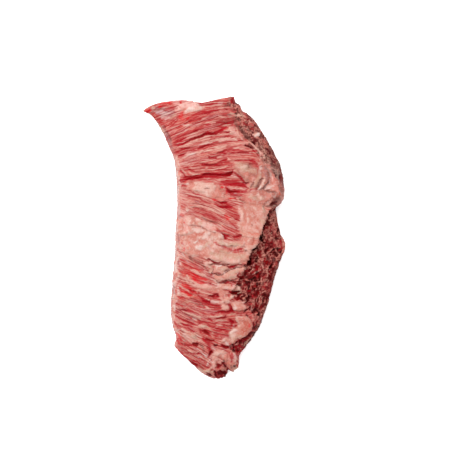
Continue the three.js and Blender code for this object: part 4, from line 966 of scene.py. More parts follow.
        (3.4, -30.4, 0.5)], [(10.6, -33.6, 0.5), (14, -31.8, 0.6), (17.4, -30.4, 0.5), (21, -28.8, 0.6),
        (25, -27.2, 0.5), (28.6, -26.4, 0.4)], [(0.6, -33, 0.5), (0.6, -36, 0.7)], [(22, -88, 1.3),
        (17, -90, 1.3)], [(-30, 106.6, 0.4), (-25, 106.4, 0.7), (-21, 107, 0.4)], [(12.2, -98.6, 0.5),
        (12.8, -100.8, 0.6)],
    ]),
    ("milk", 0.92, 0.4, [
        [(-26, 119, 1.2), (-22, 122, 2.4), (-19, 123, 1.4)], [(-4.8, -119, 0.8), (-5.4, -121.4, 0.8)],
        [(-29, -14.6, 0.4), (-27.2, -17, 0.6)], [(-15, -9, 1.7), (-12, -11, 1.6), (-11.4, -8.4, 1)],
        [(2.6, -26.2, 0.6), (6, -27, 0.9), (8.4, -26, 0.7)], [(-1.6, -60.4, 0.9), (1.6, -61, 1.1),
        (4.8, -61.4, 0.7)], [(-33.4, -87.6, 0.9), (-31, -87.6, 0.5)], [(-27.2, 50.4, 0.3),
        (-23.4, 52, 0.6)], [(-24, 77.8, 0.6), (-20, 78.8, 0.9), (-16.2, 80, 0.6)], [(40.4, 96.8, 1.1),
        (43, 98, 1.3)], [(-14.4, -105.4, 0.4), (-12, -107.4, 0.6), (-9.4, -110.6, 0.7),
        (-6.6, -113.4, 0.8)], [(-2.8, -116.4, 1), (-0.8, -118.6, 0.6)],
    ]),
    ("milk", 0.92, 0.8, [
        [(-17.4, -5.2, 0.9), (-15, -3.4, 1)], [(45.8, 49.8, 0.3), (44.4, 47.8, 0.7), (43.2, 45.4, 0.6)],
        [(49.2, 46.2, 0.5), (51.2, 46.8, 0.7), (54, 46.4, 0.4)],
    ]),
    # fold daubs: painted shade in the creases and valleys of the fat, under its ridges and lumps, and under the
    # sheet's nose
    ("fold", 0.65, -0.9, [
        [(50.6, 44.6, 0.5), (54.5, 43.8, 0.8), (58, 43.2, 0.9), (61, 41.6, 0.6)],
    ]),
    ("fold", 0.65, -0.4, [
        [(57, 40, 1.5), (59, 38, 2.2), (61, 34, 1.8)], [(-17, -21.6, 0.6), (-15.4, -23.6, 1),
        (-12, -24.6, 1.1), (-10, -22.6, 0.8)], [(16.4, -8.2, 0.5), (18, -8, 0.7)], [(26, -9.4, 0.6),
        (28.4, -9.2, 0.6)], [(30, -13.8, 0.8), (31.4, -12, 0.7)], [(11, -32.6, 0.5), (13, -31.4, 0.4)],
        [(3.4, -33.8, 0.5), (8.4, -34.6, 0.5)], [(1.4, -39.2, 0.5), (4.4, -41.2, 0.6)], [(18, -58.6, 0.6),
        (20, -60.4, 0.6)], [(10.4, -62, 0.4), (13, -64.4, 0.5), (15.6, -62, 0.4)], [(-20.4, -57.4, 0.8),
        (-17, -59, 0.6), (-13.6, -61, 0.5), (-11, -64.8, 0.7), (-9.6, -66.6, 0.5)], [(-20.6, -61.4, 0.5),
        (-17.4, -62.4, 0.6), (-14, -64.6, 0.5)], [(-18.6, -112.8, 0.4), (-16, -113.2, 0.6)],
        [(-20.4, 28.8, 0.3), (-17, 28.6, 0.7), (-12, 27.8, 0.6), (-7, 25.6, 0.5)], [(22.6, 40.6, 0.4),
        (25, 37.4, 0.5), (28, 34.4, 0.4), (33, 32, 0.4)], [(34.6, 66.6, 0.4), (38, 66, 0.6)],
        [(50.4, 65.8, 0.8), (51.6, 62.8, 0.6)], [(43.6, 31.2, 0.4), (46, 32, 0.8), (48, 31.2, 0.5)],
        [(37, 12.8, 0.7), (37.4, 11, 0.6)], [(29.4, -6, 0.6), (28.4, -8.4, 0.8), (30.4, -9, 0.6)],
        [(36.6, 88, 0.5), (41.6, 82, 0.6), (45.4, 76, 0.6), (48.4, 70, 0.5)], [(46, 84, 0.5),
        (49.6, 78.4, 0.7), (51, 72.6, 0.6)], [(52, 61.4, 0.7), (53, 56, 0.9), (51, 51.4, 0.8)],
        [(47.6, 31, 0.8), (50.6, 32.4, 1.1), (53, 35, 1)],
    ]),
    ("fold", 0.65, 0, [
        [(65.2, 49, 0.8), (66.2, 44.6, 1), (65.6, 40, 0.9)],
    ]),
    ("fold", 0.92, -1.4, [
        [(48, 56.6, 0.4), (45.4, 54.8, 0.8), (43.8, 51.6, 1), (42.4, 48.4, 0.8), (41.6, 45.6, 0.5)],
        [(48, 44.6, 0.4), (52, 43.8, 0.6), (56, 43.4, 0.8), (58.6, 42.4, 0.5)],
    ]),
    ("fold", 0.92, -0.9, [
        [(45.4, 55, 0.9), (43.7, 50, 1), (41.6, 46, 0.7)], [(51.6, 51, 0.8), (48.9, 48, 1),
        (46.8, 45.8, 0.8)], [(39, 53, 0.4), (38, 51, 0.6), (36.2, 48.4, 0.4)], [(52.8, 61, 0.7),
        (52.6, 57.6, 0.8), (52.4, 54.8, 0.6)], [(25.2, 39.4, 0.3), (26.6, 35.8, 0.4), (30, 33.4, 0.5)],
    ]),
    ("fold", 0.92, -0.4, [
        [(63, 49, 1.6), (65, 44, 1.7)], [(-12.6, -121, 0.6), (-11.4, -121.4, 0.5)], [(62.6, 50.4, 0.6),
        (64.4, 46.6, 1), (65, 42.4, 1)], [(59, 41, 0.6), (61.2, 38.8, 0.8)], [(-12.4, -102, 0.8),
        (-9.6, -104.6, 0.8), (-8.4, -108.6, 0.6)], [(-12.4, -122.4, 0.8), (-9.6, -124.4, 0.9)],
        [(17.4, -120.8, 0.6), (18, -123.4, 0.7)], [(55, 36, 1.2), (58, 38, 1.8), (62, 39, 1.6),
        (64, 37.4, 0.9)],
    ]),
    # crack daubs: painted shade in cracks and crevices; those round x 51.6 to 64, y 29.6 to 36 are painted shadow
    # under the sheet's nose
    ("crack", 0.65, -0.4, [
        [(-47, 121, 0.5), (-44.5, 119.8, 0.6)], [(-46.6, 106, 0.6), (-44.2, 101.2, 0.7), (-41.6, 96.4, 0.8),
        (-39.6, 92.4, 0.6)], [(-4.4, -20, 0.6), (-2.4, -20.8, 0.9), (0.6, -21, 0.5)], [(13.8, -26.8, 0.5),
        (14.8, -27.8, 0.4)], [(-35.6, -67.4, 0.5), (-32, -68.6, 0.7), (-28, -68.9, 0.6), (-24.6, -69, 0.4)],
        [(-30.6, -70.4, 0.4), (-27, -72.4, 0.5), (-22.6, -74.2, 0.7), (-17, -76.6, 0.5),
        (-12.6, -77.8, 0.5)], [(-32.8, -81.6, 0.4), (-29.8, -81.8, 0.5)], [(-12.4, -102.4, 0.6),
        (-9, -103.6, 0.5)], [(9, -77.4, 0.4), (12, -76, 0.7), (14, -75, 0.4)],
    ]),
    ("crack", 0.92, -1.4, [
        [(52.8, 53.4, 0.5), (52, 51.2, 0.7), (49.6, 49.8, 0.9), (47.8, 47.8, 0.7), (47.2, 46, 0.4)],
        [(20.4, -121.6, 0.7), (22, -121.8, 0.7)],
    ]),
    ("crack", 0.92, -0.9, [
        [(20.6, 108.8, 0.6), (24.2, 106.2, 1), (27.2, 105, 0.6)], [(33.4, 98.2, 0.6), (35.6, 95.4, 0.7),
        (37.2, 93, 0.6)], [(43.4, 91, 0.4), (44.6, 87.4, 0.8), (43.4, 85.4, 0.5)], [(46.2, 77.2, 0.7),
        (47.2, 75.2, 0.6)], [(51.4, 61.4, 0.5), (53.4, 60.6, 0.6)], [(57, 61.6, 0.7), (58.6, 59.2, 0.6),
        (59.8, 57, 0.4)], [(57, 34, 1.2), (59, 36, 1.6), (62, 36, 1.5), (64, 35.2, 0.8)],
        [(10.4, -116.2, 0.6), (10.8, -118.6, 0.7)], [(-3, -25.4, 0.4), (2, -24.8, 0.5), (9, -25.4, 0.6),
        (16, -25.8, 0.5)], [(12, -33.4, 0.4), (17.6, -30.2, 0.5), (22, -28, 0.6), (29, -26.6, 0.3)],
        [(-0.4, -33.8, 0.5), (6, -34.6, 0.5), (10.4, -34, 0.4)], [(5, -42.4, 0.5), (12, -41.4, 0.6),
        (20, -40.6, 0.7), (25.6, -37.4, 0.6)],
    ]),
    ("crack", 0.92, -0.4, [
        [(24, -25.2, 0.4), (29.8, -26.2, 0.5), (30.4, -27, 0.5)], [(24, 121, 0.4), (24.4, 118.6, 0.6),
        (22, 117.4, 0.7)], [(22.2, 112, 0.9), (25.6, 112.4, 1)], [(26, 101.8, 0.6), (28.6, 100.2, 0.8),
        (31, 98.6, 0.5)], [(45.8, 97.6, 0.6), (47.6, 94.4, 0.9)], [(52.4, 88.8, 0.7), (54.4, 85.4, 0.9),
        (55.6, 81.8, 0.8)], [(-5, -130, 1.2), (-1.6, -131.2, 0.7)], [(51.6, 29.6, 1), (55, 30, 1.3),
        (59.4, 31.2, 1.1)],
    ]),
    # deep daubs: dark red in gashes, cavities and holes, partly painted shade in their depths
    ("deep", 0.65, -0.4, [
        [(10.6, 122.8, 0.7), (13, 121.4, 0.9)], [(31, 87.8, 0.6), (35.4, 86.6, 1.1), (37.6, 85.6, 0.6)],
        [(-8, -89, 1.2), (-5, -91, 1.2)], [(-18.2, 100.6, 0.3), (-16, 101.8, 0.8), (-11.2, 103.2, 0.4),
        (-8, 104.2, 0.4)], [(-18, 94.2, 0.4), (-11, 97, 0.7), (-6.5, 98.9, 0.9), (-2, 98.8, 0.6),
        (2, 99, 0.4)], [(12, 60.4, 0.8), (16, 62, 1.4), (18, 62.6, 0.6)], [(14, 46.2, 0.6), (17, 44, 1.2),
        (20.5, 43.4, 0.7)], [(-2.4, -108.6, 0.8), (-3, -111.6, 1)], [(8, -101.8, 0.8), (11, -104, 1.2),
        (13.4, -104.6, 0.9)],
    ]),
    ("deep", 0.65, 0, [
        [(-21, -118, 1.1), (-18, -120, 1.4), (-15, -121, 1.1)], [(46.2, -12.4, 0.6), (43, -14.4, 1),
        (44, -17.6, 0.8)], [(-29, 56.4, 0.4), (-22, 57.6, 0.8), (-14, 59, 0.5)],
    ]),
    ("deep", 0.92, -1.4, [
        [(16, -52.2, 0.6), (19, -53, 0.6), (22, -53, 0.9), (24.4, -52, 0.5)], [(-18.2, -101.6, 1),
        (-15, -102, 1.6)],
    ]),
    ("deep", 0.92, -0.9, [
        [(10.8, -103, 0.9), (14.8, -104.2, 0.9)], [(4.4, -121.6, 1.1), (6.2, -122, 1)], [(9, -120, 1.2),
        (11, -121, 1.3)], [(13.8, -124.2, 1), (15, -125.4, 1.1)], [(2.4, -126.6, 0.5), (2.6, -129, 0.8)],
        [(25, -34, 0.6), (23.6, -36.6, 0.8), (25.6, -38.6, 0.8), (29, -38.2, 0.7)], [(17.4, -41.4, 0.4),
        (20.8, -42.8, 0.7), (23.2, -41.8, 0.5)], [(24, -44.4, 0.7), (25.8, -44, 0.6)], [(20.6, -56.8, 0.6),
        (22.6, -59, 0.9), (25.4, -57.4, 0.9), (26.8, -54, 0.7)], [(-17.8, -102.4, 1), (-15, -102, 1.2)],
        [(25.4, -97.6, 0.7), (22.4, -100.2, 0.6)], [(-1.8, -109, 0.7), (-3, -111.6, 0.8)], [(-1, -109, 1.3),
        (-3.4, -111.6, 1)],
    ]),
    ("deep", 0.92, -0.4, [
        [(28, -98, 1.4), (31, -96, 1.6)], [(-5.4, -97, 0.5), (-2.6, -98.4, 0.7), (0.6, -98.2, 0.6)],
        [(3, -77.2, 0.4), (7, -77, 0.5), (10, -76.6, 0.8), (11.8, -75, 0.6)], [(-19, 56.4, 0.4),
        (-15, 57, 0.6), (-12, 57, 0.3)], [(12.6, 60, 0.6), (16.2, 60.4, 1.1), (17.6, 61.8, 0.5)],
        [(-18.6, -118.8, 0.9), (-16, -121, 1.2)], [(-6.6, -96.4, 0.5), (-4, -98, 0.7), (-1.4, -98.8, 0.6)],
        [(-18.4, -101.4, 1.1), (-16, -102, 1.8), (-14.6, -101.8, 0.9)],
    ]),
    ("deep", 0.92, 0, [
        [(42.4, -35.4, 0.8), (43.2, -38.4, 0.8)], [(53.4, -32.6, 0.6), (54.4, -36, 0.7),
        (51.8, -38.8, 0.5)], [(29.6, -41.4, 0.9), (31, -43, 0.7)], [(18, 131, 1.2), (19.6, 128, 0.8)],
    ]),
    ("deep", 0.92, 0.4, [
        [(49.4, -20, 0.9), (48.4, -23, 1.1), (51.8, -22.4, 0.9), (50.4, -26, 0.6)], [(38.2, -46.4, 0.9),
        (42, -47, 1.2)],
    ]),
    ("cell", 0.65, -0.4, [
        [(28.4, 52, 0.4), (31.8, 51.4, 0.4), (33.8, 52.4, 0.3)], [(53.4, 82.6, 0.7), (55, 79.4, 0.7)],
        [(55, 75, 0.6), (58.6, 71.6, 0.7)],
    ]),
    ("cell", 0.92, -0.9, [
        [(2, -102.4, 0.7), (3.4, -102.2, 0.6)], [(27.6, -96.4, 0.8), (31, -95, 1.4), (34.4, -92.6, 1),
        (37, -89.8, 0.8)], [(50.2, -12.8, 0.7), (52.6, -11.4, 0.6), (54.8, -9.8, 0.4)], [(38, -19.6, 0.5),
        (43.4, -20, 0.6)], [(56.4, -5.8, 0.4), (48.4, -4.8, 0.6)], [(55.6, -26.6, 0.8), (54.6, -29.6, 0.6)],
        [(35.4, -25.6, 0.5), (36.8, -29.4, 0.6), (33.6, -32, 0.4)], [(48.6, -34.6, 0.4),
        (46.8, -36.6, 0.6)], [(33.4, -54.6, 0.5), (34.6, -57.6, 0.7), (32.4, -61, 0.6), (30.4, -62.2, 0.6)],
        [(30.2, -71, 0.5), (32.6, -68.4, 0.6), (35.6, -65.8, 0.4)], [(38.6, -80.6, 0.5), (38.4, -87, 0.8),
        (41, -84.4, 1)], [(37.4, 91.2, 0.7), (39.6, 89.6, 0.9)], [(30.6, 87.8, 0.4), (33.4, 86.8, 0.9),
        (36, 85.8, 1.1), (38, 84.6, 0.5)], [(63.4, 59, 0.6), (64, 56.8, 0.8)], [(1.6, -102.4, 0.7),
        (3.6, -102.2, 0.7)], [(9.8, -120, 0.8), (12, -122.4, 1.1)], [(20, -105, 0.5), (20, -107.4, 0.5)],
        # this cell stroke is painted shadow under the sheet's nose
        [(54.6, 31, 1), (57, 32, 1.5), (60.6, 33.4, 1.1)],
    ]),
    ("cell", 0.92, -0.4, [
        [(6, -129, 2), (10, -128, 1.8), (12, -130, 1.6)], [(-15.2, -101.6, 0.6), (-14, -101.6, 0.6)],
        [(31.8, -73.4, 0.6), (33.4, -74.2, 0.5)], [(-3.4, -129.6, 0.8), (-1.4, -131, 0.8)],
        [(53.6, -54, 0.7), (51.4, -59, 0.9), (49.8, -64, 0.8)], [(51.2, 83.8, 0.9), (53, 82.2, 0.9)],
        [(2.2, -127.4, 0.7), (2.6, -131, 1.1)], [(11.4, -130, 0.8), (12.6, -131, 0.6)],
    ]),
    # hollow daubs: painted shadow in sunk hollows
    ("shadowedHollow", 0.92, -1.4, [
        [(47.4, 3.4, 0.4), (46.2, -0.6, 0.8), (46.8, -3, 0.6)], [(43.2, -6.2, 0.6), (40.2, -10, 0.6),
        (38.4, -12, 0.7)], [(35.2, -20.6, 0.9), (34.4, -23.6, 0.8)], [(34, -39.4, 0.5), (37.6, -40, 0.8),
        (40.4, -38.6, 0.6)],
    ]),
    ("shadowedHollow", 0.92, -0.9, [
        [(20.4, -121.4, 0.8), (21.6, -121.8, 0.7)],
    ]),
]

# The colours, as the screen shows them
meat = {
    # deep: darkest red of the gashes, cavities and holes, partly the meat's own red and partly painted shade in
    # their depths
    "deep": (138, 8, 16),
    "crimson": (170, 18, 30),
    "red": (184, 58, 58),
    "rose": (202, 104, 96),
    "pink": (219, 143, 130),
    "cream": (232, 186, 169),
    "blood": (220, 38, 42),
    "mauve": (166, 112, 114),
    "lilac": (204, 164, 162),
    "beige": (206, 166, 144),
    "amber": (218, 116, 98),
    # milk: pale fat, and also painted highlight on the nodules and on ridges of the folds
    "milk": (236, 208, 199),
    "fat": (221, 155, 138),
    "fatRosy": (204, 128, 112),
    "fatPale": (228, 178, 163),
    "fatPink": (236, 178, 168),
    "salmon": (212, 126, 112),
    "clay": (194, 100, 84),
    # painted shade in the creases and folds of the fat, and under its ridges and lumps
    "fold": (152, 88, 78),
    # crack: painted shade in cracks, creases and crevices
    "crack": (118, 62, 56),
    # brown: a brown of the meat, and also painted shade along the flank's right edge
    "brown": (128, 78, 70),
    "ash": (158, 122, 112),
    "net": (214, 142, 126),
    # cell: the cut fibre's darkest red, also painted shade at the lumps' borders and under the sheet's nose
    "cell": (84, 6, 12),
    "cellRed": (130, 14, 20),
    "flesh": (150, 36, 38),
    # painted shadow in the flank's hollows
    "shadowedHollow": (44, 8, 8),
}


def smoothstep(value, low, high):
    t = np.clip((value - low) / (high - low), 0, 1)
    return t * t * (3 - 2 * t)


def lerp(low, high, share):
    return low + (high - low) * share


def station(table, y):
    rising = np.array(sorted(table))
    return np.interp(y, rising[:, 0], rising[:, 1])


def rows(*columns):
    return np.stack(np.broadcast_arrays(*columns), axis=-1)


# repeatable noise on arrays of points
def cornerValues(cells, seed):
    h = (cells @ np.array([374761393, 668265263, 1442695041]) + seed * 974711) & 0xFFFFFFFF
    h = ((h ^ (h >> 13)) * 1274126177) & 0xFFFFFFFF
    h = ((h ^ (h >> 16)) * 2246822519) & 0xFFFFFFFF
    return ((h ^ (h >> 13)) & 0xFFFFFF) / 0xFFFFFF


def softNoise(points, seed=0):  # -1 to 1, lumps about one unit across
    base = np.floor(points).astype(np.int64)
    f = points - base
    f = f * f * f * (f * (f * 6 - 15) + 10)
    total = 0
    for corner in np.ndindex(2, 2, 2):
        weight = np.prod(np.where(np.array(corner), f, 1 - f), axis=-1)
        total = total + weight * cornerValues(base + np.array(corner), seed)
    return 2 * total - 1


def cellNoise(points, seed=0):  # distance to the nearest centre, how much further the next is, the cell's value
    base = np.floor(points).astype(np.int64)
    nearest = np.full(len(points), 9.0)
    second = nearest.copy()
    value = np.zeros(len(points))
    for step in np.ndindex(3, 3, 3):
        cell = base + np.array(step) - 1
        centre = cell + np.stack([cornerValues(cell, seed + axis) for axis in range(3)], axis=-1)
        away = np.linalg.norm(points - centre, axis=-1)
        closer = away < nearest
        second = np.where(closer, nearest, np.minimum(second, away))
        value = np.where(closer, cornerValues(cell, seed + 3), value)
        nearest = np.where(closer, away, nearest)
    return nearest, second - nearest, value


# the outline as a map from (u, v) to (x, y)
def edgeLine(points, samples=600):
    p = np.array(points, float)
    p = np.vstack([2 * p[0] - p[1], p, 2 * p[-1] - p[-2]])
    spans = []
    for i in range(1, len(p) - 2):
        t = np.linspace(0, 1, 24, endpoint=False)[:, None]
        a, b, c, d = p[i - 1], p[i], p[i + 1], p[i + 2]
        spans.append(b + 0.5 * t * (c - a + t * (2 * a - 5 * b + 4 * c - d + t * (3 * (b - c) + d - a))))
    line = np.vstack(spans + [p[-2:-1]])
    length = np.concatenate([[0], np.cumsum(np.linalg.norm(np.diff(line, axis=0), axis=1))])
    even = np.linspace(0, length[-1], samples + 1)
    return np.stack([np.interp(even, length, line[:, k]) for k in range(2)], axis=1)


edges = {name: edgeLine(points) for name, points in outline.items()}


def along(line, t):
    at = np.clip(t, 0, 1) * (len(line) - 1)
    steps = np.arange(len(line))
    return np.stack([np.interp(at, steps, line[:, k]) for k in range(2)], axis=-1)


def bulge(line, u):
    return along(line, u) - lerp(line[0], line[-1], u[:, None])


def place(u, v):
    sides = lerp(along(edges["left"], v), along(edges["right"], v), u[:, None])
    top = bulge(edges["top"], u) * ((1 - v) ** form["endFade"])[:, None]
    bottom = bulge(edges["bottom"], u) * (v ** form["endFade"])[:, None]
    return sides + top + bottom


def distanceTo(line, xy):
    best = np.full(len(xy), 1e9)
    for p in line[::3]:
        best = np.minimum(best, np.hypot(xy[:, 0] - p[0], xy[:, 1] - p[1]))
    return best


def followStroke(points, xy, reach):  # of the vertices near a stroke: which, how far away, and how far along it
    p = np.array([point[:2] for point in points], float)
    near = np.all((xy > p.min(axis=0) - reach) & (xy < p.max(axis=0) + reach), axis=1).nonzero()[0]
    best, share = np.full(len(near), 1e9), np.zeros(len(near))
    steps = np.linalg.norm(np.diff(p, axis=0), axis=1)
    marks = np.concatenate([[0], np.cumsum(steps)]) / steps.sum()
    for i, run in enumerate(np.diff(p, axis=0)):
        t = np.clip(((xy[near] - p[i]) @ run) / (run @ run), 0, 1)
        away = np.linalg.norm(xy[near] - p[i] - t[:, None] * run, axis=1)
        closer = away < best
        best = np.where(closer, away, best)
        share = np.where(closer, lerp(marks[i], marks[i + 1], t), share)
    return near, best, share, marks


def patchDepth(points, xy, reach=6):  # millimetres inside a stroke of round patches, or of a (x, y, half width) line
    depth = np.full(len(xy), -float(reach))
    widest = max(point[2] for point in points)
    near, away, share, marks = followStroke(points, xy, reach + widest)
    width = np.interp(share, marks, [point[2] for point in points])
    depth[near] = np.maximum(depth[near], width - away)
    return depth


def strandCover(wide, points, xy):  # 1 on the strand's middle, 0 at its edge
    cover = np.zeros(len(xy))
    near, away, share, _ = followStroke(points, xy, wide * 1.5)
    width = wide * (1 - 0.75 * np.abs(2 * share - 1) ** 3)
    cover[near] = np.clip(1.25 - away / width, 0, 1)
    return cover


# the grain: how far along it and across it each point is
def grainPlace(x, y):
    fromMiddle = x + 2.85
    across = y.copy()
    for _ in range(14):
        slope = station(grainSlope, across)
        bend = station(grainBend, across)
        wanted = y - slope * fromMiddle - bend * fromMiddle**2 / 66.5
        across = lerp(across, wanted, 0.6)
    return fromMiddle, across


print("steak: grid")
bm = bmesh.new()
bmesh.ops.create_grid(bm, x_segments=form["columns"], y_segments=form["rows"], size=0.5)
for ring in range(form["wallRings"]):
    border = [e for e in bm.edges if e.is_boundary]
    made = bmesh.ops.extrude_edge_only(bm, edges=border)
    newVerts = [g for g in made["geom"] if isinstance(g, bmesh.types.BMVert)]
    bmesh.ops.translate(bm, verts=newVerts, vec=(0, 0, -1))
under = bmesh.new()
underColumns, underRows = form["columns"] // form["underShare"], form["rows"] // form["underShare"]
bmesh.ops.create_grid(under, x_segments=underColumns, y_segments=underRows, size=0.5)
underBorder = [e for e in under.edges if e.is_boundary]
bmesh.ops.subdivide_edges(under, edges=underBorder, cuts=form["underShare"] - 1)
bmesh.ops.reverse_faces(under, faces=under.faces)
bmesh.ops.translate(under, verts=under.verts, vec=(0, 0, -form["wallRings"]))
underMesh = bpy.data.meshes.new("underside")
under.to_mesh(underMesh)
under.free()
bm.from_mesh(underMesh)
bpy.data.meshes.remove(underMesh)
bmesh.ops.remove_doubles(bm, verts=bm.verts, dist=1e-5)
bmesh.ops.triangulate(bm, faces=[f for f in bm.faces if len(f.verts) > 4])
steakMesh = bpy.data.meshes.new("steakBody")
bm.to_mesh(steakMesh)
bm.free()

count = len(steakMesh.vertices)
flatPlaces = np.empty(count * 3)
steakMesh.vertices.foreach_get("co", flatPlaces)
shares = flatPlaces.reshape(-1, 3)
ringShare = -shares[:, 2] / form["wallRings"]
isTop = ringShare < 0.5 / form["wallRings"]
isUnder = ringShare > 1 - 0.5 / form["wallRings"]
u = shares[:, 0] + 0.5
v = 0.5 - shares[:, 1]
u = lerp(u, smoothstep(u, 0, 1), form["crowdColumns"])
v = lerp(v, smoothstep(v, 0, 1), form["crowdRows"])

print("steak: form")
rim = place(u, v)
width = np.linalg.norm(edges["right"][300] - edges["left"][300])
length = np.linalg.norm(edges["top"][300] - edges["bottom"][300])
footU = 0.5 + (u - 0.5) * (1 - 2 * form["footTuck"] / width)
footV = 0.5 + (v - 0.5) * (1 - 2 * form["footTuck"] / length)
angle = ringShare * math.pi / 2
xy = lerp(rim, place(footU, footV), (1 - np.cos(angle))[:, None])
x, y = xy[:, 0], xy[:, 1]
rimX, rimY = rim[:, 0], rim[:, 1]

tip = np.array(outline["top"][0])
nearTip = smoothstep(np.linalg.norm(rim - tip, axis=1), 0, form["tipReach"])
full = form["thickness"] * station(thicknessShare, rimY) * lerp(form["tipThickness"], 1, nearTip)
widest = form["widestLevel"] * full
edgeAway = {name: distanceTo(line, rim) for name, line in edges.items()}


def crownShare():
    edgeX = station(roughEdge, rimY)
    flankWidth = np.maximum(form["leftRound"], distanceTo(edges["right"], rows(edgeX, rimY)))
    share = 1
    for name, reach in (
        ("left", form["leftRound"]),
        ("right", form["flankRound"] * flankWidth),
        ("top", form["topEndRound"]),
        ("bottom", form["bottomEndRound"]),
    ):
        closeness = np.clip(1 - edgeAway[name] / reach, 0, 1)
        share = share * np.sqrt(1 - closeness**2)
    return share


crown = np.where(isTop, crownShare(), 0)
level = np.where(isTop, widest + (full - widest) * crown, widest * (1 - np.sin(angle)))
depthBelow = np.where(isTop, 0, level - widest)

# the tables were traced from straight above: where the camera sees each vertex
cameraView = {"aim": (11.4, 11.9), "height": 1021, "tracedLevel": 11.6, "lens": 85}
nearer = (cameraView["height"] - cameraView["tracedLevel"]) / (cameraView["height"] - level)
seen = cameraView["aim"] + (rim - cameraView["aim"]) * nearer[:, None]
rimX, rimY = seen[:, 0], seen[:, 1]
onRim = rows(rimX, rimY, 0)

# the grain's own wander, and the bundles that it lies in
grainAlong, grainAcross = grainPlace(rimX, rimY)
grain = {"bundle": 3.3, "thread": 1.5, "wander": 1.5, "wiggle": 0.5, "strandReach": 46}
wandered = grainAcross + grain["wander"] * softNoise(rows(grainAlong / 26, grainAcross / 8, 0), 41)
wandered = wandered + grain["wiggle"] * softNoise(rows(grainAlong / 9, grainAcross / 3, 0), 40) + depthBelow * 0.6


def bundles(period, seed, reach):  # a profile across each bundle, its tone, and how open the gap beside it is
    share = wandered / period
    share = share + 0.35 * softNoise(rows(grainAlong / (reach * 0.6), share, seed), seed)
    index = np.floor(share)
    across = share - index
    gapIndex = np.round(share)
    jitter = cornerValues(rows(gapIndex, gapIndex, 0).astype(np.int64), seed + 3)
    away = np.abs(share - gapIndex) * period
    tone = softNoise(rows(grainAlong / reach, index * 3.7, depthBelow / 9), seed + 1)
    open = softNoise(rows(grainAlong / (reach * 0.55) + jitter * 9, gapIndex * 5.3, 0), seed + 2)
    return 1 - (2 * across - 1) ** 2, tone, away, open


ridge, tone, gapAway, gapOpen = bundles(grain["bundle"], 42, grain["strandReach"])
fineRidge, fineTone, fineAway, fineOpen = bundles(grain["thread"], 52, grain["strandReach"] * 0.5)

# where the traced strokes fall: shaken a little, and frayed along the grain
shake = rows(softNoise(onRim / 7, 21), softNoise(onRim / 7, 22)) * 0.9
shake = shake + rows(softNoise(onRim / 2.6, 23), softNoise(onRim / 2.6, 24)) * 0.5
fray = softNoise(rows(grainAlong / 9, wandered / 1.3, 0), 25)
fray = fray + 0.6 * softNoise(rows(grainAlong / 5, wandered / 0.7, 0), 26)
shaken = seen + shake * 0.6
streaked = seen + shake * 0.5 + rows(3.2 * fray, 0.35 * fray)


def patchField(strokes, places):
    depth, rise = np.full(count, -6.0), np.zeros(count)
    for height, points in strokes.values():
        inside = patchDepth(points, places)
        depth = np.maximum(depth, inside)
        rise = np.maximum(rise, height * smoothstep(inside, -0.8, 3))
    return depth, rise


def domeField(strokes, places):  # lumps with steep round sides
    depth, rise = np.full(count, -6.0), np.zeros(count)
    for height, points in strokes.values():
        inside = patchDepth(points, places)
        reach = min(4, max(point[2] for point in points))
        closeness = np.clip(1 - inside / reach, 0, 1)
        depth = np.maximum(depth, inside)
        rise = np.maximum(rise, height * np.sqrt(1 - closeness**2) * (inside > 0))
    return depth, rise


def grooveField(lines, places):  # 1 in the middle of a groove, and how deep it is
    cover, depth = np.zeros(count), np.zeros(count)
    for points in lines.values():
        widest = max(point[2] for point in points)
        inside = patchDepth(points, places, 3)
        cover = np.maximum(cover, smoothstep(inside, -0.25, 0.45))
        depth = np.maximum(depth, 0.75 * widest * smoothstep(inside, -0.5, widest))
    return cover, depth


sheetDepth, sheetRise = patchField(fatSheet, seen + shake)
lumpDepth, lumpRise = domeField(fatLumps, seen + shake * 0.5)
innerDepth, innerRise = patchField(fatInGrain, streaked)
gashCover, gashDeep = grooveField(gashes, shaken + rows(0, 0.25 * fray))
crackCover, crackDeep = grooveField(cracks, shaken)

# the edge of the rough flank wanders, most of all where it is only a band of crumbs
bandShare = smoothstep(rimY, 52, 72)
pastEdge = rimX - station(roughEdge, rimY) + 1.3 * softNoise(onRim / 7, 11) + 0.7 * softNoise(onRim / 3, 12)
pastEdge = pastEdge + 0.7 * softNoise(onRim / 1.5, 14) + (0.3 + bandShare) * fray
pastEdge = pastEdge + 3.2 * bandShare * softNoise(onRim / 6, 13)
onFlank = smoothstep(pastEdge, -0.3, 1.6)
drop = station(flankDrop, rimY)
crevice = lerp(0.2, 1, smoothstep(softNoise(onRim / 5, 15), -0.3, 0.4)) * smoothstep(drop, 2, 7) * np.exp(-(((pastEdge - 2.6) / 1.8) ** 2))
swell = form["swell"] * softNoise(onRim / form["swellSpacing"], 3)
relief = smoothstep(crown, 0, 0.7)
raised = sheetRise * (1 - onFlank) + np.maximum(lumpRise, innerRise * (1 - onFlank))
z = level + np.where(isTop, relief * (swell + raised - onFlank * drop - crevice * onFlank), 0)
lip = 0.9 * smoothstep(drop, 2.5, 7) * np.exp(-(((pastEdge + 0.2) / 1.5) ** 2))  # the sheet leans over the crevice
x = x + np.where(isTop, lip, 0)


def writePlaces():
    steakMesh.vertices.foreach_set("co", (rows(x, y, z) * millimetre).ravel())
    steakMesh.update()


writePlaces()
normals = np.empty(count * 3)
steakMesh.vertex_normals.foreach_get("vector", normals)
normals = normals.reshape(-1, 3)
solid = rows(x, y, z)

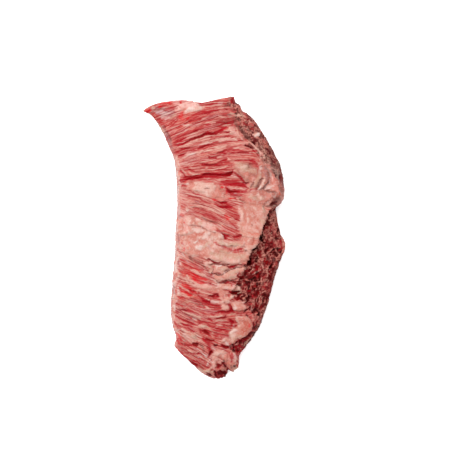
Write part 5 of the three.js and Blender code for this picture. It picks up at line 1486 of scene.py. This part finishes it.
print("steak: relief")
lumpCover = smoothstep(lumpDepth, -0.1, 0.5)
sheetCover = smoothstep(sheetDepth + 1.5 * fray, -2, 0.9) * (1 - onFlank)
innerCover = smoothstep(innerDepth, -0.9, 0.9) * (1 - onFlank)
fatCover = np.maximum.reduce([sheetCover, lumpCover, innerCover])
wallRough = smoothstep(rimX - station(roughEdge, rimY), 2, 5)
rough = np.where(isTop, onFlank, np.where(isUnder, 0, wallRough)) * (1 - lumpCover)
gapCover = smoothstep(gapAway, 0.75, 0.15) * smoothstep(gapOpen, -0.35, 0.35)
fineCover = smoothstep(fineAway, 0.5, 0.1) * smoothstep(fineOpen, -0.1, 0.5)

# the flank's cut fibre: lumps in a curling net of fat, with hollows between them
curl = rows(softNoise(solid / 4.5, 51), softNoise(solid / 4.5, 52), softNoise(solid / 4.5, 53))
netNear, netGap, netTone = cellNoise(solid / 5 + 0.5 * curl, 54)
fineNear, fineGap, fineCell = cellNoise(solid / 2.4 + 0.6 * curl, 58)
netShare = smoothstep(softNoise(solid / 3.4, 62), -0.25, 0.3)
net = smoothstep(netGap, 0.18, 0.07) * netShare
fineNet = smoothstep(fineGap, 0.26, 0.12) * smoothstep(softNoise(solid / 3.4, 63), -0.2, 0.2)
hollowCover = np.zeros(count)
for hollowX, hollowY, reach in hollows:
    inside = patchDepth([(hollowX, hollowY, reach), (hollowX + 0.1, hollowY, reach)], seen + shake)
    hollowCover = np.maximum(hollowCover, smoothstep(inside, -0.2, 1.2))
# the hollows: sunk in the relief, and painted black as shadow in the colour below
randomHollow = smoothstep(netTone, 0.32, 0.22) * smoothstep(netGap, 0.1, 0.4)
shadowedHollow = np.maximum(hollowCover, 0.75 * randomHollow * smoothstep(rimY, 60, 30)) * rough
crags = 0.9 * softNoise(solid / 7, 64) + 0.5 * softNoise(solid / 3, 65) + 0.9 * (netTone - 0.5)
crags = 1.3 * crags + 0.9 * net + 0.35 * fineNet - 1.7 * shadowedHollow
crags = crags * lerp(1, 0.6, bandShare) * lerp(0.35, 1, smoothstep(edgeAway["right"], 0, 4))



def daubCover(strokes):  # softer at the edge where the daub is wider
    cover = np.zeros(count)
    for points in strokes:
        soft = min(1.2, 0.25 + 0.3 * max(point[2] for point in points))
        cover = np.maximum(cover, smoothstep(patchDepth(points, dabbed, 2), -soft, soft))
    return cover


dabbed = shaken + rows(softNoise(onRim / 1.4, 27), softNoise(onRim / 1.4, 28)) * 0.4 + rows(0, 0.15 * fray)
daubRise = np.zeros(count)
for name, share, rise, strokes in daubs:
    daubRise = lerp(daubRise, rise, daubCover(strokes)) if rise else daubRise

strandRelief = 0.5 * ridge**0.6 + 0.16 * fineRidge + 0.3 * tone - 0.45 * gapCover - 0.3
nodular = smoothstep(rimX, 14, 2) * smoothstep(np.abs(rimY - 3), 30, 18)  # where the sheet is lumpy
noduleNear, noduleGap, noduleTone = cellNoise(onRim / 6.5 + 0.3 * curl, 68)
nodule = (1 - noduleNear) * nodular
sheetLow = smoothstep(rimY, 8, -8)  # the sheet runs down the piece, and its lower end across it
run, side = lerp(rimY, rimX, sheetLow), lerp(rimX, rimY, sheetLow)
wrinkleNoise = softNoise(rows(run / 13, side / 3.4, 0) + 0.3 * curl, 69)
wrinkle = smoothstep(np.abs(wrinkleNoise), 0.16, 0) * smoothstep(softNoise(onRim / 7, 70), -0.45, 0.1)
flow = softNoise(rows(run / 17, side / 2.3, 0) + 0.35 * curl, 76)
billow = softNoise(rows(run / 19, side / 7.5, 0) + 0.3 * curl, 77)  # the sheet's long soft folds
fatRelief = 0.4 * softNoise(solid / 5, 66) + 0.16 * softNoise(solid / 2.2, 67) + 0.8 * nodule - 0.45 * wrinkle + 1.2 * billow * (1 - lumpCover)
grooves = np.maximum(gashDeep, crackDeep)
smoothRelief = lerp(strandRelief, fatRelief, fatCover) - grooves
topRelief = lerp(smoothRelief, crags, rough) + daubRise * lerp(1, 0.45, nodular)
fade = np.where(isTop, 1, np.where(isUnder, 0, smoothstep(level, 0, 4)))
x = x + normals[:, 0] * topRelief * fade
y = y + normals[:, 1] * topRelief * fade
z = z + normals[:, 2] * topRelief * fade
underRelief = 0.4 + 0.4 * softNoise(rows(grainAlong / 20, grainAcross / 4, 0), 71)
z = np.where(isUnder, underRelief * smoothstep(edgeAway["left"], 6, 12), z)
z = np.maximum(z, 0)
writePlaces()

print("steak: colour")


def ramp(value, *names):  # a colour between the named ones, at even steps from 0 to 1
    stops = np.linspace(0, 1, len(names))
    return np.stack([np.interp(value, stops, [meat[name][k] for name in names]) for k in range(3)], axis=1)


def lay(under, over, share):
    over = np.array(meat[over], float) if isinstance(over, str) else over
    return under + (over - under) * np.clip(share, 0, 1)[:, None]


regional = [(134, 0.5), (80, 0.54), (66, 0.7), (25, 0.64), (0, 0.58), (-34, 0.74), (-52, 0.5), (-134, 0.48)]
shade = station(regional, rimY) + 0.32 * tone + 0.15 * fineTone + 0.05 * fray
shade = shade + 0.14 * softNoise(rows(grainAlong / 20, wandered / 1.9, 0), 72)
shade = shade + 0.16 * softNoise(rows(grainAlong / 30, wandered / 14, 0), 73)
muscle = ramp(shade, "crimson", "red", "rose", "pink", "cream")
muscle = lay(muscle, "lilac", 0.5 * smoothstep(softNoise(rows(grainAlong / 20, wandered / 3, 0), 74), 0.15, 0.7))
muscle = lay(muscle, "amber", 0.5 * smoothstep(softNoise(rows(grainAlong / 20, wandered / 2.6, 0), 75), 0.2, 0.7))
for name, share, points, soft in washes:
    inside = patchDepth(points, streaked, 12)
    muscle = lay(muscle, name, share * smoothstep(inside, -soft, soft))
# the sunk gaps between bundles: partly the meat's darker red, partly painted shade in the grooves
muscle = lay(muscle, "crimson", 0.85 * gapCover * lerp(0.4, 1, smoothstep(tone, 0.5, -0.2)))
muscle = lay(muscle, "red", 0.4 * fineCover)

frayed = shaken + rows(0, 0.3 * fray)
stain = {}
for name, lines in strands.items():
    stain[name] = np.zeros(count)
    for wide, strokes in lines:
        for points in strokes:
            stain[name] = np.maximum(stain[name], strandCover(wide, points, frayed))
for name in ("cream", "crimson", "red", "blood"):
    muscle = lay(muscle, name, stain[name] * (0.85 - 0.25 * fineTone))

clouds = softNoise(onRim / 9, 81) + 0.6 * softNoise(onRim / 3.6, 82) + 0.4 * softNoise(onRim / 1.8, 80)
veins = np.abs(softNoise(onRim / 4.5 + 0.4 * curl, 83))
fat = np.zeros((count, 3)) + meat["fat"]
for strokes, places, soft in ((fatSheet, seen + shake, 1.5), (fatInGrain, streaked, 1), (fatLumps, seen + shake * 0.5, 0.5)):
    for name, (height, points) in strokes.items():
        fat = lay(fat, fatTints.get(name, "fat"), smoothstep(patchDepth(points, places), -soft, soft))
fat = lay(fat, "milk", 0.3 * smoothstep(clouds, 0.1, 1.3))
fat = lay(fat, "fatRosy", 0.6 * smoothstep(clouds, -0.2, -1.3))
fat = lay(fat, "fatPale", 0.7 * nodular)
fat = lay(fat, "fatRosy", 0.3 * smoothstep(veins, 0.1, 0.0))
fat = lay(fat, "fatPink", 0.5 * smoothstep(flow, 0.15, 0.6))
fat = lay(fat, "amber", 0.3 * smoothstep(flow, -0.15, -0.6))
# painted shade in the sheet's wrinkles and in the valleys of its billows, and painted light on the billows' crests
fat = lay(fat, "salmon", 0.9 * wrinkle)
fat = lay(fat, "salmon", 0.8 * smoothstep(billow, 0.1, -0.6) * (1 - lumpCover))
fat = lay(fat, "fatPale", 0.6 * smoothstep(billow, 0.1, 0.6) * (1 - lumpCover))
# painted highlight on the tops of the nodules, and painted shade in the gaps between them
fat = lay(fat, "milk", 0.25 * smoothstep(nodule, 0.35, 0.8) * (1 - lumpCover))
fat = lay(fat, "fatRosy", 0.5 * smoothstep(noduleGap, 0.22, 0.05) * nodular * (1 - lumpCover))
column = smoothstep(rimX, 18, 30) * smoothstep(rimY, 4, 20) * (1 - lumpCover)
fat = lay(fat, "salmon", 0.3 * column)
# painted shade: the sheet's right part is darker from x 18 on, more so above y 45 towards the folds, and darker
# again in the billows' valleys
fat = lay(fat, "fold", column * lerp(0.12, 0.26, smoothstep(rimY, 45, 60)))
fat = lay(fat, "fold", 0.35 * column * smoothstep(billow, 0.1, -0.6))
film = smoothstep(np.maximum(sheetDepth, innerDepth) + 2 * fray, -5, 0) * smoothstep(fineTone, -0.6, 0.4)
muscle = lay(muscle, "pink", 0.7 * film)
colour = lay(muscle, fat, fatCover)

strip = smoothstep(edgeAway["left"] + 1.6 * softNoise(onRim / 4, 85) + 0.5 * fray, 5.6, 3) * smoothstep(rimY, 86, 74)
strip = strip * smoothstep(rimY, -108, -90) * (1 - rough)
stripStreaks = softNoise(rows(edgeAway["left"] / 0.9, rimY / 9, depthBelow / 5), 86)
skin = ramp(0.7 + 0.5 * stripStreaks, "rose", "pink", "fatPale", "milk")
skin = lay(skin, "lilac", 0.6 * smoothstep(edgeAway["left"], 2.4, 0.8))
dashes = smoothstep(softNoise(rows(edgeAway["left"] / 1.5, rimY / 3.4, 3), 87), 0.3, 0.6)
skin = lay(skin, "amber", 0.7 * dashes)
besideStrip = smoothstep(edgeAway["left"], 13, 5) * smoothstep(rimY, 80, 66) * smoothstep(rimY, -100, -70)
besideStrip = besideStrip * (1 - rough) * (1 - fatCover)
colour = lay(colour, "fatPink", 0.7 * besideStrip * smoothstep(fineTone + 0.6 * tone, -0.8, 0.4))
colour = lay(colour, skin, strip * 0.9)
colour = lay(colour, "mauve", stain["mauve"] * 0.8)
colour = lay(colour, "crimson", 0.85 * gashCover)
# darker with the gash's depth: partly its own deep red, partly painted shade
colour = lay(colour, "deep", smoothstep(gashDeep, 0.4, 1.2))
# painted shade in the cracks and creases
colour = lay(colour, "crack", 0.55 * crackCover)

# the rough flank: red lumps in a pale net, darkened between them with painted shade and shadow
cut = ramp(0.5 + 0.8 * (netTone - 0.5) + 0.5 * (fineCell - 0.5), "cell", "cellRed", "cellRed", "flesh", "red")
# painted shade in the lumps towards their borders, beside the raised net
cut = lay(cut, "cell", 0.8 * smoothstep(netGap, 0.34, 0.14) * (1 - net))
cut = lay(cut, "rose", 0.25 * smoothstep(softNoise(solid / 1.7, 88), 0.15, 0.55))
upperFlank = smoothstep(rimY, -30, 0)
cut = lay(cut, "net", lerp(0.5, 0.75, upperFlank) * fineNet)
cut = lay(cut, "net", lerp(0.8, 0.95, upperFlank) * net)
cut = lay(cut, "rose", 0.55 * upperFlank * smoothstep(softNoise(solid / 2.2, 89), 0, 0.5))
crumbs = lay(ramp(fineCell, "cell", "brown", "rose", "fatRosy"), "net", 0.8 * fineNet)
cut = lay(cut, crumbs, bandShare * 0.8)
cut = lay(cut, "crack", smoothstep(rimY, 40, 56) * lerp(0.15, 0.6, smoothstep(rimY, 92, 76)))
cut = lay(cut, "ash", 0.6 * smoothstep(patchDepth([(58, 66, 2), (61, 60, 2.5)], seen + shake), -1.5, 1.5))
# painted shade towards the flank's right edge below y 30, where the side falls away
cut = lay(cut, "brown", 0.5 * smoothstep(edgeAway["right"], 4, 1) * smoothstep(rimY, 30, 0))
# painted shadow in the hollows
cut = lay(cut, "shadowedHollow", 0.8 * shadowedHollow)
colour = lay(colour, cut, rough)
for name, share, rise, strokes in daubs:
    colour = lay(colour, name, share * daubCover(strokes))

# from what the screen shows to what the surface reflects
light = {"gain": 2.55, "sheen": 0.004, "keep": 0.3}


def linear(shown):
    shown = np.clip(np.asarray(shown, float) / 255, 0, 1)
    return np.where(shown <= 0.04045, shown / 12.92, ((shown + 0.055) / 1.055) ** 2.4)


def reflected(shown):
    wanted = linear(shown)
    return np.maximum(wanted - light["sheen"], light["keep"] * wanted) / light["gain"]


albedo = reflected(colour)

plain = lerp(0.06, 1, smoothstep(colour @ np.array([0.3, 0.6, 0.1]), 52, 118))  # the dark patches stay dark
fatMark = np.maximum(fatCover, strip) * (1 - rough)
marks = {"fat": fatMark * plain, "rough": rough * plain, "muscle": (1 - fatMark) * (1 - rough) * plain}
for name, values in marks.items():
    steakMesh.attributes.new(name, "FLOAT", "POINT").data.foreach_set("value", values.astype(np.float32))
grainVector = rows(grainAlong, wandered, 0) * millimetre
vectors = steakMesh.attributes.new("grain", "FLOAT_VECTOR", "POINT").data
vectors.foreach_set("vector", grainVector.astype(np.float32).ravel())
colours = steakMesh.attributes.new("flesh", "FLOAT_COLOR", "POINT").data
colours.foreach_set("color", np.column_stack([albedo, np.ones(count)]).astype(np.float32).ravel())
steakMesh.polygons.foreach_set("use_smooth", [True] * len(steakMesh.polygons))
steak = bpy.data.objects.new("steakBody", steakMesh)
bpy.context.collection.objects.link(steak)


class Shade:  # one output socket of a material's nodes, for writing shader maths as Python
    def __init__(self, tree, socket=None):
        self.tree = tree
        self.socket = socket

    def node(self, kind, settings=None, inputs=None, output=0):
        made = self.tree.nodes.new("ShaderNode" + kind)
        for name, value in (settings or {}).items():
            setattr(made, name, value)
        for name, value in (inputs or {}).items():
            if isinstance(value, Shade):
                self.tree.links.new(value.socket, made.inputs[name])
            else:
                made.inputs[name].default_value = value
        return Shade(self.tree, made.outputs[output]) if made.outputs else None

    def maths(self, operation, *values):
        return self.node("Math", {"operation": operation}, dict(enumerate(values)))

    def __add__(self, other):
        return self.maths("ADD", self, other)

    def __sub__(self, other):
        return self.maths("SUBTRACT", self, other)

    def __rsub__(self, other):
        return self.maths("SUBTRACT", other, self)

    def __mul__(self, other):
        return self.maths("MULTIPLY", self, other)

    __radd__ = __add__
    __rmul__ = __mul__

    def size(self):
        return self.maths("ABSOLUTE", self)

    def step(self, low, high):  # 0 at low, 1 at high, smooth between
        return self.node("MapRange", {"interpolation_type": "SMOOTHSTEP"}, {0: self, 1: low, 2: high, 3: 0, 4: 1})

    def mix(self, low, high):  # self is the share of high
        return self.node("Mix", {"data_type": "RGBA"}, {0: self, 6: low, 7: high}, 2)


def paint(name):
    return (*reflected(meat[name]).tolist(), 1)


def meatFinish():
    material = bpy.data.materials.new("rawMeat")
    material.use_nodes = True
    tree = material.node_tree
    tree.nodes.clear()
    s = Shade(tree)
    grain = s.node("Attribute", {"attribute_name": "grain"}, output="Vector")
    flesh = s.node("Attribute", {"attribute_name": "flesh"}, output="Color")
    fatShare = s.node("Attribute", {"attribute_name": "fat"}, output="Fac")
    roughShare = s.node("Attribute", {"attribute_name": "rough"}, output="Fac")
    isMuscle = s.node("Attribute", {"attribute_name": "muscle"}, output="Fac")
    spot = s.node("TexCoord", output="Object")

    def noise(vector, scale, detail=2, stretch=None):
        if stretch:
            vector = s.node("VectorMath", {"operation": "MULTIPLY"}, {0: vector, 1: stretch})
        return s.node("TexNoise", {}, {"Vector": vector, "Scale": scale, "Detail": detail}, "Fac")

    # muscle: threads along the grain, about 1 mm and 0.6 mm across
    threads = noise(grain, 1, 2, (32, 800, 800))
    fine = noise(grain, 1, 2, (60, 1500, 1500))
    crumble = noise(grain, 1, 2, (260, 1300, 1300))
    colour = ((threads - 0.5).size().step(0.04, 0.0) * isMuscle * 0.7).mix(flesh, paint("crimson"))
    colour = (threads.step(0.53, 0.64) * isMuscle * 0.5).mix(colour, paint("cream"))
    colour = (fine.step(0.47, 0.36) * isMuscle * 0.7).mix(colour, paint("red"))
    colour = (fine.step(0.56, 0.68) * isMuscle * 0.35).mix(colour, paint("cream"))
    colour = (crumble.step(0.45, 0.33) * isMuscle * 0.45).mix(colour, paint("crimson"))
    colour = (crumble.step(0.57, 0.68) * isMuscle * 0.35).mix(colour, paint("cream"))

    # fat: small paler and rosier spots
    spots = noise(spot, 300, 4)
    grains = noise(spot, 850, 2)
    colour = (spots.step(0.5, 0.68) * fatShare * 0.3).mix(colour, paint("milk"))
    colour = (spots.step(0.5, 0.33) * fatShare * 0.35).mix(colour, paint("fatRosy"))
    colour = (grains.step(0.52, 0.66) * fatShare * 0.2).mix(colour, paint("milk"))
    colour = (grains.step(0.46, 0.34) * fatShare * 0.2).mix(colour, paint("rose"))

    # cut fibre: pale flecks and dark pits
    flecks = noise(spot, 600, 3)
    curls = noise(spot, 340, 2)
    colour = (flecks.step(0.46, 0.38) * roughShare * 0.75).mix(colour, paint("cell"))
    colour = (flecks.step(0.55, 0.62) * roughShare * 0.7).mix(colour, paint("net"))
    curlShare = (curls - 0.5).size().step(0.03, 0.01) * noise(spot, 150, 1).step(0.45, 0.6)
    colour = (curlShare * roughShare * 0.4).mix(colour, paint("fatPale"))

    wet = noise(spot, 300, 2)
    height = isMuscle * (threads * 0.6 + fine * 0.35) + fatShare * spots * 0.5 + roughShare * flecks * 1.2
    bump = s.node("Bump", {}, {"Height": height, "Strength": 0.7, "Distance": 0.0006})
    looks = {
        "Base Color": colour,
        "Roughness": wet * 0.3 + 0.3,
        "Specular IOR Level": 0.02,
        "Normal": bump,
    }
    shader = s.node("BsdfPrincipled", {}, looks)
    s.node("OutputMaterial", {}, {"Surface": shader})
    return material


print("steak: finish")
steakMesh.materials.append(meatFinish())
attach(steak, "root")
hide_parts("steak")

print("stage")
stage = {"floorReach": 3.0, "floorLevel": -0.0003, "floorColour": (0.98, 0.98, 0.98, 1), "world": 1.65}
floorBm = bmesh.new()
bmesh.ops.create_grid(floorBm, x_segments=1, y_segments=1, size=stage["floorReach"])
bmesh.ops.translate(floorBm, verts=floorBm.verts, vec=(0, 0, stage["floorLevel"]))
floorMesh = bpy.data.meshes.new("floor")
floorBm.to_mesh(floorMesh)
floorBm.free()
floor = bpy.data.objects.new("floor", floorMesh)
bpy.context.collection.objects.link(floor)
floorFinish = bpy.data.materials.new("paleFloor")
floorFinish.use_nodes = True
floorShader = floorFinish.node_tree.nodes["Principled BSDF"]
floorShader.inputs["Base Color"].default_value = stage["floorColour"]
floorShader.inputs["Roughness"].default_value = 0.9
floorMesh.materials.append(floorFinish)

world = bpy.data.worlds.new("studio")
world.use_nodes = True
world.node_tree.nodes["Background"].inputs["Color"].default_value = (1, 1, 1, 1)
world.node_tree.nodes["Background"].inputs["Strength"].default_value = stage["world"]
bpy.context.scene.world = world

key = {"place": (-0.42, 0.52, 1.08), "size": 0.9, "power": 25}
keyLight = bpy.data.lights.new("key", "AREA")
keyLight.shape = "SQUARE"
keyLight.size = key["size"]
keyLight.energy = key["power"]
keyObject = bpy.data.objects.new("key", keyLight)
keyObject.location = key["place"]
keyObject.rotation_euler = Vector(key["place"]).to_track_quat("Z", "Y").to_euler()
bpy.context.collection.objects.link(keyObject)

camera = bpy.data.cameras.new("camera")
camera.lens = cameraView["lens"]
cameraObject = bpy.data.objects.new("camera", camera)
cameraObject.location = Vector((*cameraView["aim"], cameraView["height"])) * millimetre
bpy.context.collection.objects.link(cameraObject)
bpy.context.scene.camera = cameraObject
bpy.context.scene.view_settings.view_transform = "Standard"

print("triangles:", sum(len(p.vertices) - 2 for p in steakMesh.polygons))
